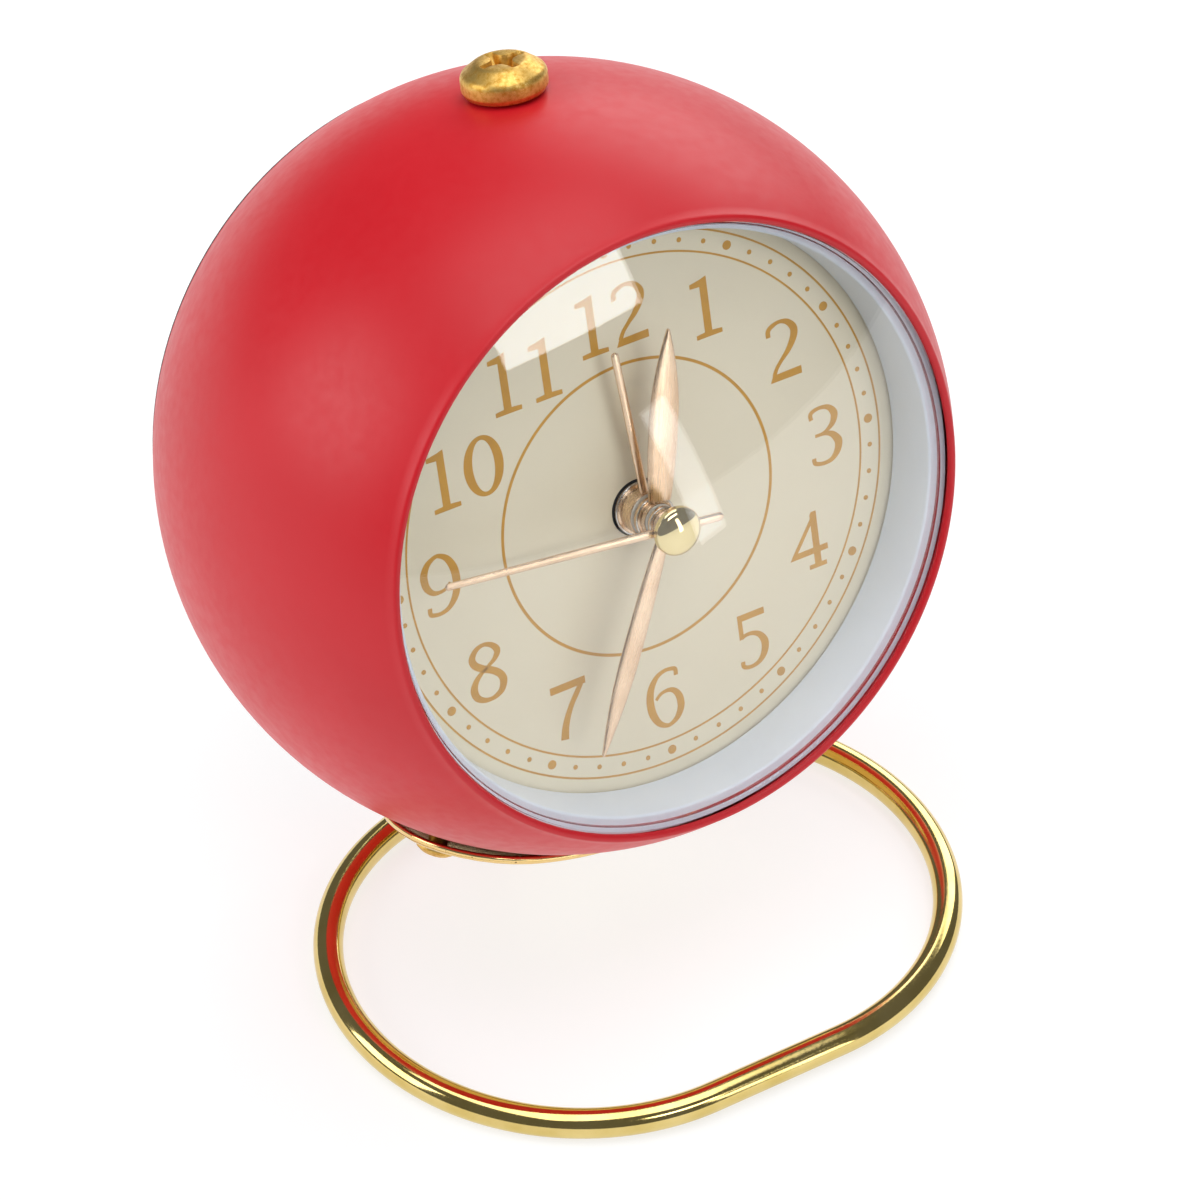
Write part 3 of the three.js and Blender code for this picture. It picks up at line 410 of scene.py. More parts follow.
class Finish:
    """A Principled material, with short calls for the textures that drive it."""

    def __init__(self, name, **sockets):
        self.material = bpy.data.materials.new(name)
        self.material.use_nodes = True
        self.tree = self.material.node_tree
        self.tree.nodes.clear()
        self.shader = self.add("ShaderNodeBsdfPrincipled")
        self.output = self.add("ShaderNodeOutputMaterial")
        self.join(self.shader.outputs[0], self.output.inputs["Surface"])
        self.coordinates = self.add("ShaderNodeTexCoord").outputs["Object"]
        self.relief = None
        for socket, value in sockets.items():
            self.shader.inputs[socket.replace("_", " ")].default_value = value

    def add(self, kind, **settings):
        node = self.tree.nodes.new(kind)
        for setting, value in settings.items():
            setattr(node, setting, value)
        return node

    def join(self, source, target):
        self.tree.links.new(source, target)

    def texture(self, kind, size, stretch=(1, 1, 1), **sockets):
        """A texture whose features are about `size` millimetres across."""
        node = self.add("ShaderNodeTex" + kind)
        mapping = self.add("ShaderNodeMapping")
        mapping.inputs["Scale"].default_value = stretch
        self.join(self.coordinates, mapping.inputs["Vector"])
        self.join(mapping.outputs["Vector"], node.inputs["Vector"])
        for socket, value in {"Scale": 1 / (size * MM), **sockets}.items():
            node.inputs[socket].default_value = value
        return node

    def noise(self, size, detail=3, stretch=(1, 1, 1)):
        return self.texture("Noise", size, stretch, Detail=detail).outputs[0]

    def cells(self, size):
        return self.texture("Voronoi", size).outputs["Distance"]

    def waves(self, size):
        """Bands along Z."""
        node = self.texture("Wave", size * BANDS_PER_UNIT, Distortion=0.4)
        node.bands_direction = "Z"
        return node.outputs[1]

    def ranged(self, value, low, high, start=0.3, stop=0.7):
        node = self.add("ShaderNodeMapRange")
        limits = {"From Min": start, "From Max": stop, "To Min": low, "To Max": high}
        for socket, limit in limits.items():
            node.inputs[socket].default_value = limit
        self.join(value, node.inputs["Value"])
        return node.outputs[0]

    def mixed(self, share, first, second):
        """A colour between two, each a colour or another node's output."""
        node = self.add("ShaderNodeMix", data_type="RGBA")
        self.join(share, node.inputs["Factor"])
        for socket, colour in ((node.inputs[6], first), (node.inputs[7], second)):
            if isinstance(colour, tuple):
                socket.default_value = colour
            else:
                self.join(colour, socket)
        return node.outputs[2]

    def colour(self, value):
        self.join(value, self.shader.inputs["Base Color"])

    def roughness(self, value, low, high, start=0.3, stop=0.7):
        self.join(self.ranged(value, low, high, start, stop), self.shader.inputs["Roughness"])

    def bump(self, height, strength, depth=0.05):
        """Adds relief of about `depth` millimetres."""
        node = self.add("ShaderNodeBump")
        node.inputs["Strength"].default_value = strength
        node.inputs["Distance"].default_value = depth * MM
        self.join(height, node.inputs["Height"])
        if self.relief:
            self.join(self.relief, node.inputs["Normal"])
        self.relief = node.outputs["Normal"]
        self.join(self.relief, self.shader.inputs["Normal"])


def plain(
    name, light, dark, roughness, mottle=8, grain=0.5, relief=0.2, depth=0.05, stretch=(1, 1, 1), **sockets,
):
    """A finish of two close colours, with a grain in its gloss and its relief."""
    made = Finish(name, **sockets)
    made.colour(made.mixed(made.ranged(made.noise(mottle, 4), 0, 1), srgb(*dark), srgb(*light)))
    grains = made.noise(grain, 3, stretch)
    made.roughness(grains, *roughness)
    made.bump(grains, relief, depth)
    return made


def red_paint():
    made = plain(
        "red_satin_paint", (214, 27, 40), (208, 22, 35), (0.36, 0.44), mottle=22, grain=1.6, relief=0.05,
        Specular_IOR_Level=0.42,
    )
    made.bump(made.noise(0.35, 2), 0.08, 0.02)
    return made.material


def clear_lens():
    """Clear moulded plastic with faint wiping marks, which lets lamps through as it does daylight."""
    made = Finish("clear_lens", Base_Color=(0.985, 0.99, 1.0, 1), Transmission_Weight=1.0, IOR=1.46)
    made.roughness(made.noise(6, 4, (1, 1, 3)), 0.0, 0.025, 0.45, 0.75)
    made.bump(made.noise(9, 2), 0.02, 0.02)
    through = made.add("ShaderNodeBsdfTransparent")
    through.inputs["Color"].default_value = (0.97, 0.975, 0.98, 1)
    shadow = made.add("ShaderNodeLightPath").outputs["Is Shadow Ray"]
    blend = made.add("ShaderNodeMixShader")
    made.join(shadow, blend.inputs[0])
    made.join(made.shader.outputs[0], blend.inputs[1])
    made.join(through.outputs[0], blend.inputs[2])
    made.join(blend.outputs[0], made.output.inputs["Surface"])
    return made.material


def dial_enamel():
    made = plain("dial_enamel", (239, 230, 204), (234, 224, 196), (0.34, 0.42), 30, 0.25, 0.04)
    made.bump(made.noise(0.9, 2), 0.03, 0.02)
    return made.material


def polished(name, light, dark, roughness, scratch=(1, 1, 14), relief=0.05):
    """Polished metal with hairlines along the part and a little change of tone."""
    made = plain(name, light, dark, roughness, 6, 0.5, relief, 0.01, scratch, Metallic=1.0)
    made.bump(made.noise(3, 2), 0.04, 0.02)
    return made.material


def antique_gold():
    """Cast plating: a fine matte grain, a shade darker in its hollows."""
    made = Finish("antique_gold", Metallic=1.0)
    hollows = made.noise(0.6, 5)
    grains = made.noise(0.14, 2)
    tone = made.mixed(made.ranged(hollows, 0, 1, 0.3, 0.6), srgb(202, 150, 58), srgb(230, 190, 104))
    made.colour(made.mixed(made.ranged(grains, 0, 1, 0.58, 0.75), tone, srgb(244, 216, 142)))
    made.roughness(hollows, 0.52, 0.38)
    made.bump(hollows, 0.25, 0.03)
    made.bump(grains, 0.35, 0.02)
    return made.material


def pitted_gold():
    """The strap's pale plating, with a few fine dark pits left by the stamping."""
    made = Finish("pitted_gold", Metallic=1.0)
    pits = made.ranged(made.noise(0.45, 3), 0, 1, 0.3, 0.36)
    tone = made.mixed(made.noise(5, 3), srgb(228, 192, 120), srgb(246, 220, 160))
    made.colour(made.mixed(pits, srgb(140, 96, 46), tone))
    made.roughness(pits, 0.4, 0.15, 0, 1)
    made.bump(pits, 0.25, 0.03)
    return made.material


def moulded(name, light, dark, roughness=(0.42, 0.6), relief=0.35):
    made = plain(name, light, dark, roughness, mottle=14, grain=0.3, relief=relief, depth=0.03)
    made.bump(made.cells(0.45), 0.12, 0.03)
    return made.material


def winding():
    """Enamelled copper wire: fine turns along the coil, with painted shade in the grooves between turns and
    a painted highlight on each turn's crest.
    """
    made = Finish("copper_winding", Metallic=1.0)
    wire = made.waves(0.12)
    # painted shade and highlight: the colour runs from dark in the grooves to light on the crests, following
    # the bump
    made.colour(made.mixed(wire, srgb(120, 52, 24), srgb(200, 112, 66)))
    made.roughness(wire, 0.5, 0.25, 0, 1)
    made.bump(wire, 0.6, 0.05)
    return made.material


def circuit():
    """Green lacquer over copper tracks."""
    made = Finish("board_green")
    tracks = made.add("ShaderNodeTexBrick", offset=0.5)
    tracks.inputs["Scale"].default_value = 240
    tracks.inputs["Mortar Size"].default_value = 0.03
    made.join(made.coordinates, tracks.inputs["Vector"])
    lacquer = made.mixed(made.noise(3, 3), srgb(24, 84, 52), srgb(34, 104, 66))
    made.colour(made.mixed(tracks.outputs["Fac"], lacquer, srgb(96, 150, 84)))
    made.roughness(made.noise(0.6, 2), 0.25, 0.4)
    made.bump(tracks.outputs["Fac"], 0.3, 0.05)
    return made.material


BAND_X = 12


def battery_jacket():
    """A dark printed sleeve with a copper band round one end."""
    made = Finish("battery_jacket", Metallic=0.35)
    split = made.add("ShaderNodeSeparateXYZ")
    made.join(made.coordinates, split.inputs[0])
    band = made.ranged(split.outputs["X"], 0, 1, (BAND_X - 0.2) * MM, (BAND_X + 0.2) * MM)
    print_tone = made.mixed(made.noise(9, 3), srgb(30, 42, 66), srgb(40, 54, 80))
    made.colour(made.mixed(band, print_tone, srgb(186, 124, 66)))
    made.roughness(made.noise(1.5, 3), 0.28, 0.4)
    made.bump(made.noise(4, 2), 0.1, 0.05)
    return made.material


RED_PAINT = red_paint()
CLEAR_LENS = clear_lens()
DIAL_ENAMEL = dial_enamel()
DIAL_INK = plain("dial_gold_ink", (210, 156, 52), (199, 145, 46), (0.35, 0.5), 3, 0.2, 0.1).material
RING_WHITE = plain("ring_white", (226, 234, 244), (219, 228, 240), (0.3, 0.4), 12, 0.4, 0.06).material
ROSE_GOLD = polished("rose_gold", (240, 214, 184), (222, 190, 158), (0.2, 0.34), (2, 2, 0.12), 0.3)
SILVER_EDGE = polished("silver_edge", (214, 212, 208), (196, 192, 186), (0.15, 0.28))
PALE_GOLD = polished("pale_gold", (236, 220, 170), (229, 211, 158), (0.03, 0.06))
STAND_GOLD = polished("stand_gold", (228, 206, 138), (212, 188, 112), (0.07, 0.14), (1, 1, 1), 0.05)
STRAP_GOLD = pitted_gold()
SCREW_GOLD = antique_gold()
FRAME_PLASTIC = moulded("frame_plastic", (228, 229, 226), (218, 219, 216))
GEAR_PLASTIC = moulded("gear_plastic", (240, 238, 228), (228, 225, 212), (0.35, 0.5), 0.15)
BLACK_PLASTIC = moulded("black_plastic", (34, 34, 36), (24, 24, 26))
WHITE_PLASTIC = moulded("white_plastic", (236, 236, 232), (226, 226, 222), (0.35, 0.5), 0.2)
STEEL = polished("steel", (196, 198, 202), (172, 175, 180), (0.2, 0.34), (1, 1, 8), 0.15)
BRASS = polished("brass", (214, 178, 96), (190, 152, 74), (0.22, 0.4), (1, 6, 1), 0.15)
COPPER = winding()
BOARD_GREEN = circuit()
BATTERY_JACKET = battery_jacket()
RED_CABLE = plain("red_insulation", (178, 30, 28), (160, 22, 22), (0.45, 0.6), 4, 0.4, 0.15).material
BLACK_CABLE = plain("black_insulation", (32, 32, 34), (22, 22, 24), (0.45, 0.6), 4, 0.4, 0.15).material

# ---- ball and window


def ball_section(offset, y0, y1, steps):
    """Points on the ball's slightly long section, offset inwards."""
    radius = BALL_RADIUS - offset
    depth = BALL_HALF_DEPTH - offset
    start = asin(y0 / depth)
    around = turns(steps, start, asin(y1 / depth) - start, True)
    return [(radius * cos(a), depth * sin(a)) for a in around]


def ray_frame(node):
    """A frame at the ball's centre whose Z runs out through a screw or a nut."""
    out = middle(node).normalized()
    across = Vector((0, 1, 0)).cross(out).normalized()
    return frame_matrix(Vector(), across, out.cross(across), out)


def ray_drill(radius, node):
    """A drill through the ball's wall on a screw's axis."""
    near, far = DRILL_SPAN
    drill = lathe([(0, near), (radius, near), (radius, far), (0, far)], 32)
    return moved(drill, ray_frame(node) @ QUARTER_TURN)


STRAP_SCREWS = ("strap_screw_left", "strap_screw_right")
STRAP_SCREW_HOLE = 1.8
TOP_SCREW_HOLE = 3
DRILL_SPAN = (40, 60)


def ball_shell():
    edge = SHELL_WALL / 2
    outer = ball_section(0, RIM_Y + edge, REAR_Y - edge, 56)
    inner = ball_section(SHELL_WALL, REAR_Y - edge, RIM_Y + edge, 40)
    front_rim = rim_arc(inner[-1], outer[0], -1)
    rear_rim = rim_arc(outer[-1], inner[0], 1)
    drills = [ray_drill(STRAP_SCREW_HOLE, node) for node in STRAP_SCREWS]
    shell = lathe([*outer, *rear_rim, *inner, *front_rim], 192)
    return cut(shell, ray_drill(TOP_SCREW_HOLE, "top_screw"), *drills)


def rim_arc(start, end, way, steps=6):
    """The points between two ends of a wall that round its lip, bulging along Y."""
    radius = (start[0] - end[0]) / 2
    lean = (start[1] - end[1]) / 2
    x, y = end[0] + radius, end[1] + lean
    bulge = way * abs(radius)
    return [(x + radius * cos(a), y + lean * cos(a) + bulge * sin(a))
            for a in turns(steps, 0, pi)[1:]]


LENS_EDGE_RADIUS = 39.85
LENS_EDGE_Y = RIM_Y + 0.8
LENS_THICKNESS = 1.5
LENS_FLANGE_INNER = 39.1
LENS_FLANGE_HEIGHT = 0.9
LENS_FRONT_Y, LENS_FOOT_Y = span("lens", 1)


def arc_profile(radius, centre, start, stop, steps=40):
    around = turns(steps, start, stop - start, True)
    return [(max(radius * sin(a), 0), centre - radius * cos(a)) for a in around]


def lens():
    """A domed window whose edge spreads into a flange behind the shell's rim."""
    rise = LENS_EDGE_Y - LENS_FRONT_Y
    dome = (LENS_EDGE_RADIUS ** 2 + rise ** 2) / (2 * rise)
    centre = LENS_FRONT_Y + dome
    inner = dome - LENS_THICKNESS
    outside = arc_profile(dome, centre, 0, asin(LENS_EDGE_RADIUS / dome))
    inside = arc_profile(inner, centre, asin(LENS_FLANGE_INNER / inner), 0)
    flange = reach("lens")
    wall = rounded([
        (*outside[-1], 0),
        (flange, LENS_FOOT_Y - LENS_FLANGE_HEIGHT, 0.25),
        (flange, LENS_FOOT_Y, 0.2),
        (LENS_FLANGE_INNER, LENS_FOOT_Y, 0.2),
        (*inside[0], 0),
    ], closed=False)
    return lathe([*outside, *wall[1:-1], *inside], 192)


RING_FOOT_RADIUS = 37.9
RING_MOUTH_RADIUS = 38.2
RING_WALL_RADIUS = 39.6
RING_LIP_RADIUS = 41.2


def reflector_ring():
    front, back = span("reflector_ring", 1)
    return lathe(rounded([
        (RING_FOOT_RADIUS, back, 0.15),
        (DIAL_RADIUS, back, 0.15),
        (DIAL_RADIUS, back - 1.3, 0.2),
        (RING_WALL_RADIUS, back - 1.9, 0.2),
        (RING_WALL_RADIUS, front + 1.5, 0.2),
        (RING_LIP_RADIUS, front + 1.1, 0.15),
        (RING_LIP_RADIUS, front, 0.15),
        (RING_MOUTH_RADIUS, front, 0.4),
    ]), 192)


piece("ball_paint", ball_shell(), RED_PAINT, "root", ["ball_shell"], sharp=40)
piece("lens_dome", lens(), CLEAR_LENS, "root", ["lens"], sharp=25)
piece("ring_wall", reflector_ring(), RING_WHITE, "root", ["reflector_ring"])

# ---- dial and its print

DIAL_THICKNESS = span("dial", 1)[1] - DIAL_Y
TRACK_RADII = (33.2, 36.1)
TRACK_LINE = 0.13
DOT_RADIUS = 34.62
HOUR_DOT = 0.62
MINUTE_DOT = 0.33
INNER_RING_RADIUS = 19.6
INNER_RING_LINE = 0.2


def dial_disc():
    back = DIAL_Y + DIAL_THICKNESS
    return lathe(rounded([
        (DIAL_HOLE, DIAL_Y, 0.1),
        (DIAL_HOLE, back, 0.1),
        (DIAL_RADIUS, back, 0.1),
        (DIAL_RADIUS, DIAL_Y, 0.1),
    ], steps=3), 160)


def ring_line(radius, half):
    return lathe([
        (radius - half, DIAL_Y),
        (radius - half, DIAL_Y - PRINT_THICKNESS),
        (radius + half, DIAL_Y - PRINT_THICKNESS),
        (radius + half, DIAL_Y),
    ], 192)


def minute_dot(minute):
    a = TURN * minute / 60
    radius = MINUTE_DOT if minute % 5 else HOUR_DOT
    dot = [(0, DIAL_Y), (radius, DIAL_Y), (radius, DIAL_Y - PRINT_THICKNESS), (0, DIAL_Y - PRINT_THICKNESS)]
    place = Matrix.Translation((DOT_RADIUS * sin(a), 0, DOT_RADIUS * cos(a)))
    return moved(lathe(dot, 20), place)


# Each numeral is upright and 8 mm high. Strokes are (x, height, half width) knots from the middle
# of its foot; slabs are the outlines of its straight parts.
LOOP_OF_SIX = [
    (2.03, 6.7, 0.3), (2, 7.55, 0.3), (1.35, 7.83, 0.27), (0.4, 7.87, 0.27), (-0.7, 7.45, 0.33),
    (-1.65, 6.35, 0.47), (-2.1, 5.05, 0.53), (-2.2, 3.65, 0.55), (-1.97, 2.26, 0.53), (-1.3, 0.95, 0.42),
    (-0.35, 0.28, 0.3), (0.4, 0.25, 0.28), (1.45, 0.87, 0.4), (2.07, 1.9, 0.5), (2.2, 2.8, 0.52),
    (2, 3.9, 0.47), (1.3, 4.8, 0.35), (0.4, 5.05, 0.25), (-0.55, 4.87, 0.23), (-1.3, 4.26, 0.22),
]
NUMERAL_HEIGHT = 8

STROKES = {
    "2": [[
        (-1.9, 6.24, 0.33), (-1.85, 7.1, 0.33), (-1.2, 7.62, 0.3), (-0.1, 7.88, 0.25), (1, 7.55, 0.38),
        (1.75, 6.7, 0.5), (1.9, 5.95, 0.53), (1.6, 5, 0.5), (0.75, 3.75, 0.38), (-0.3, 2.75, 0.28),
        (-1.2, 1.8, 0.27), (-1.7, 0.85, 0.3),
    ]],
    "3": [
        [
            (-1.82, 6.6, 0.3), (-1.85, 7.4, 0.3), (-1.25, 7.8, 0.27), (-0.2, 7.9, 0.25), (0.85, 7.6, 0.36),
            (1.55, 6.75, 0.5), (1.6, 6.05, 0.5), (1.2, 5.2, 0.4), (0.32, 4.55, 0.25), (-0.45, 4.28, 0.22),
            (-1.5, 4.26, 0.22),
        ],
        [
            (-1.5, 4.26, 0.22), (-0.1, 4.2, 0.25), (0.95, 3.8, 0.4), (1.7, 2.85, 0.55), (1.8, 2.15, 0.55),
            (1.45, 1.2, 0.47), (0.6, 0.4, 0.33), (-0.45, 0.2, 0.27), (-1.4, 0.33, 0.27), (-2, 0.65, 0.3),
            (-2.05, 1.3, 0.3),
        ],
    ],
    "4": [[(1.28, 7.35, 0.26), (-0.55, 4.88, 0.26), (-2.37, 2.4, 0.26)]],
    "5": [[
        (-1.6, 4.64, 0.3), (-0.8, 4.85, 0.25), (0.2, 4.75, 0.3), (1.1, 4.2, 0.4), (1.67, 3.2, 0.52),
        (1.67, 2.2, 0.53), (1.25, 1.2, 0.45), (0.4, 0.45, 0.32), (-0.65, 0.22, 0.26), (-1.5, 0.38, 0.28),
        (-1.85, 0.7, 0.3), (-1.85, 1.3, 0.3),
    ]],
    "6": [LOOP_OF_SIX],
    "7": [[
        (1.9, 6.87, 0.35), (1.2, 5.9, 0.38), (0.26, 4.6, 0.38), (-0.52, 3.2, 0.42), (-1.13, 1.65, 0.5),
        (-1.45, 0.05, 0.58),
    ]],
    "9": [[(-x, NUMERAL_HEIGHT - z, half) for x, z, half in LOOP_OF_SIX]],
}
CLOSED_STROKES = {
    "8": [
        (0, 7.87, 0.27), (-1.15, 7.45, 0.36), (-1.8, 6.45, 0.47), (-1.5, 5.5, 0.5), (-0.5, 4.7, 0.48),
        (0.75, 4.05, 0.48), (1.75, 3.2, 0.5), (2.13, 2.2, 0.53), (1.75, 1.05, 0.45), (0.9, 0.45, 0.35),
        (0, 0.27, 0.28), (-1, 0.45, 0.36), (-1.85, 1.1, 0.47), (-2.13, 2.15, 0.53), (-1.75, 3.2, 0.42),
        (-0.9, 4.05, 0.3), (0.4, 4.85, 0.24), (1.4, 5.55, 0.35), (1.85, 6.5, 0.46), (1.15, 7.45, 0.36),
    ],
}
SLABS = {
    "1": [
        [(-0.56, 0), (0.52, 0), (0.52, 8.13), (-0.4, 7.85), (-0.56, 7.8)],
        [(-1.95, 7), (-0.5, 6.9), (0.4, 7.2), (0.4, 8.08), (-0.4, 7.85), (-1.95, 7.58)],
        [(-1.8, 0), (1.95, 0), (1.95, 0.58), (0.55, 0.72), (-0.5, 0.72), (-1.8, 0.58)],
    ],
    "2": [[(-2.33, 0), (2.35, 0), (2.35, 1.05), (-1.3, 0.98), (-1.9, 0.9)]],
    "4": [
        [(0.69, 0), (1.68, 0), (1.68, 7.9), (0.95, 7.9), (0.69, 7.5)],
        [(-2.9, 2.07), (2.84, 2.07), (2.84, 2.9), (-2.3, 2.9)],
        [(-0.18, 0), (2.43, 0), (2.43, 0.6), (-0.18, 0.6)],
    ],
    "5": [
        [(-1.9, 6.92), (2.14, 6.92), (2.14, 7.83), (-1.9, 7.83)],
        [(-1.9, 4.35), (-1.25, 4.6), (-1.25, 7.83), (-1.9, 7.83)],
    ],
    "7": [[(-2.57, 6.73), (2.57, 6.73), (2.57, 7.74), (-2.57, 7.74)]],
}
ZERO_OUTER = (2.8, 4.07)
ZERO_INNER = (1.55, 3.5)
NUMERAL_RADII = [26.5, 27.1, 28.1, 27.3, 27.6, 27.3, 27, 28.1, 28.7, 26.4, 26.2, 25.9]
DIGIT_OFFSETS = {10: (-3.35, 2.4), 11: (-2.9, 2.9), 12: (-3, 2.45)}


def digit(character, x, z):
    """One printed digit with its foot's middle at (x, z); each part is printed a hair thicker."""
    parts = []
    thickness = PRINT_THICKNESS
    for outline in SLABS.get(character, []):
        parts.append(plate([[(x + px, z + pz) for px, pz in outline]], DIAL_Y - thickness, DIAL_Y))
        thickness += LAYER_STEP
    lines = [(knots, False) for knots in STROKES.get(character, [])]
    if character in CLOSED_STROKES:
        lines.append((CLOSED_STROKES[character], True))
    for knots, closed in lines:
        parts.append(ribbon(knots, (x, z), DIAL_Y - thickness, DIAL_Y, closed))
        thickness += LAYER_STEP
    if character == "0":
        centre = (x, z + NUMERAL_HEIGHT / 2)
        rings = [ellipse(*ZERO_OUTER, centre), ellipse(*ZERO_INNER, centre)]
        parts.append(plate(rings, DIAL_Y - thickness, DIAL_Y))
    return parts


def numeral(hour):
    a = TURN * hour / 12
    radius = NUMERAL_RADII[hour - 1]
    x = radius * sin(a)
    z = radius * cos(a) - NUMERAL_HEIGHT / 2
    offsets = DIGIT_OFFSETS.get(hour, (0,))
    parts = []
    for character, offset in zip(str(hour), offsets):
        parts += digit(character, x + offset, z)
    return gather(*parts)


piece("dial_disc", dial_disc(), DIAL_ENAMEL, "root", ["dial"])
for name, radius, half in (
    ("track_line_inner", TRACK_RADII[0], TRACK_LINE),
    ("track_line_outer", TRACK_RADII[1], TRACK_LINE),
    ("inner_ring_line", INNER_RING_RADIUS, INNER_RING_LINE),
):
    piece("dial_" + name, ring_line(radius, half), DIAL_INK, "root")
piece("dial_minute_dots", gather(*map(minute_dot, range(60))), DIAL_INK, "root")
for hour in range(1, 13):
    piece(f"dial_numeral_{hour}", numeral(hour), DIAL_INK, "root")

# ---- hands

HAND_THICKNESS = 0.35


def hand_place(node):
    """The clock's frame turned to a hand, so that the hand points along Z."""
    tip = max(corners(node), key=lambda corner: hypot(corner.x, corner.z))
    return CLOCK @ Matrix.Rotation(atan2(tip.x, tip.z), 4, "Y")


def bezier(start, control, end, steps=12):
    result = []
    for i in range(steps + 1):
        t = i / steps
        result.append(tuple(
            (1 - t) ** 2 * a + 2 * t * (1 - t) * b + t * t * c for a, b, c in zip(start, control, end)
        ))
    return result


def leaf(length, hub, belly, belly_at):
    """(place along the hand, half width) of a leaf: narrow, widest at the belly, fine at the tip."""
    tip = 0.2
    widest = (belly_at, belly)
    rise = bezier((0, hub), (belly_at * 0.45, belly * 1.08), widest)
    fall = bezier(widest, (belly_at + (length - belly_at) * 0.5, belly * 0.85), (length - tip, tip))
    return [*rise, *fall[1:], (length - tip * 0.3, tip * 0.7), (length, 0.02)]


def baton(length, hub, tip, tail):
    round_tip = [(length - tip + tip * sin(a), tip * cos(a)) for a in (0, 0.5, 1, 1.35, 1.5)]
    ends = [(-tail + hub * (1 - cos(a)), hub * max(sin(a), 0.05)) for a in (0, 0.5, 1, 1.57)]
    return [*ends, (0, hub), *round_tip] if tail else [(0, hub), *round_tip]


def blade(widths, front):
    """A stamped blade: flat behind, crowned in front, with the crown falling away to its edges."""
    shape = bmesh.new()
    across = (-1, -0.9, -0.6, 0, 0.6, 0.9, 1)
    drops = (0.16, 0.08, 0.025, 0, 0.025, 0.08, 0.16)
    back = front + HAND_THICKNESS
    rings = []
    for z, half in widths:
        ring = [shape.verts.new((share * half, front + drop, z)) for share, drop in zip(across, drops)]
        ring.append(shape.verts.new((half * 0.97, back, z)))
        ring.append(shape.verts.new((-half * 0.97, back, z)))
        rings.append(ring)
    return skin(shape, rings, capped=True)


def collar(front, depth, radius, bore, lip):
    """The hand's hub: a turned cup with a chamfered face and a step, `lip` of the way back."""
    step = radius * 0.84
    return lathe(rounded([
        (bore, front - 0.05, 0.08),
        (step - 0.25, front - 0.05, 0.1),
        (step, front + 0.3, 0.1),
        (step, front + depth * (lip - 0.07), 0.05),
        (radius, front + depth * lip, 0.1),
        (radius, front + depth, 0.12),
        (bore, front + depth, 0.08),
    ], steps=4), 72)


def collar_edge(place, radius):
    """The bright turned lip round the collar's step."""
    ring = [(radius - 0.12 + 0.16 * cos(a), place + 0.14 * sin(a)) for a in turns(14)]
    return lathe(ring, 72)


# body, outline, collar depth, collar radius, bore and the lip's share of the depth
HANDS = {
    "alarm_hand": ("alarm", baton(22.8, 0.6, 0.5, 0), 2.7, 3.55, 3, 0.88),
    "hour_hand": ("hour", leaf(24.9, 1.3, 2.1, 14.5), 1.7, 2.75, 2.25, 0.62),
    "minute_hand": ("minute", leaf(30.7, 0.75, 1.4, 19), 1.4, 2.1, 1.6, 0.62),
    "second_hand": ("second", baton(32.4, 0.6, 0.45, 7.2), 1.2, 1.6, 0.9, 0.62),
}

for node, (body, widths, depth, radius, bore, lip) in HANDS.items():
    front = span(node, 1)[0]
    place = hand_place(node)
    start = 0 if widths[0][0] < 0 else bore + 0.2
    clear = [(max(z, start), half) for z, half in widths] if start else widths
    piece(node + "_blade", blade(clear, front), ROSE_GOLD, body, [node], place, sharp=50)
    hub = collar(front, depth, radius, bore, lip)
    edge = collar_edge(front + depth * lip, radius)
    piece(node + "_collar", hub, ROSE_GOLD, body, (), place)
    piece(node + "_lip", edge, SILVER_EDGE, body, (), place)


CAP_RISE = 0.95


def hand_cap():
    front, back = span("hand_cap", 1)
    radius = reach("hand_cap")
    side = front + CAP_RISE
    around = turns(14, 0, pi / 2, True)
    dome = [(radius * sin(a), side - (side - front) * cos(a)) for a in around]
    rim = rounded([(*dome[-1], 0), (radius, back, 0.15), (0, back, 0)], closed=False)
    return lathe([(0, front), *dome[1:], *rim[1:]], 96)


piece("centre_cap", hand_cap(), PALE_GOLD, "second", ["hand_cap"], sharp=50)

# ---- screws and nuts


def arms(half_width, half_length, corner):
    """The outline of a cross whose inner corners are arcs."""
    bend = half_width + corner
    end = rounded([
        (half_length - 1, -half_width, 0), (half_length, -half_width, 0.2),
        (half_length, half_width, 0.2), (half_length - 1, half_width, 0),
    ], closed=False, steps=3)
    inner = [(bend + corner * cos(b), bend + corner * sin(b))
             for b in turns(5, -pi / 2, -pi / 2)[1:]]
    outline = []
    for a in turns(4):
        for x, y in [*end[1:-1], (bend, half_width), *inner, (half_width, bend)]:
            outline.append((x * cos(a) - y * sin(a), x * sin(a) + y * cos(a)))
    return outline


def recess(half_width, half_length, corner, top, depth):
    """The tool that sinks a tapered cross recess along -Z."""
    shape = bmesh.new()
    levels = ((top + 0.5, 1.05), (top, 1), (top - depth * 0.75, 0.72), (top - depth, 0.45))
    rings = []
    for height, share in levels:
        outline = arms(half_width * (0.4 + 0.6 * share), half_length * share, corner * share)
        rings.append([shape.verts.new((x, y, height)) for x, y in outline])
    return skin(shape, rings, capped=True)


RECESS_ARM = 0.19
RECESS_BEND = 0.42
THREAD_PITCH = 0.6
THREAD_END = 0.6


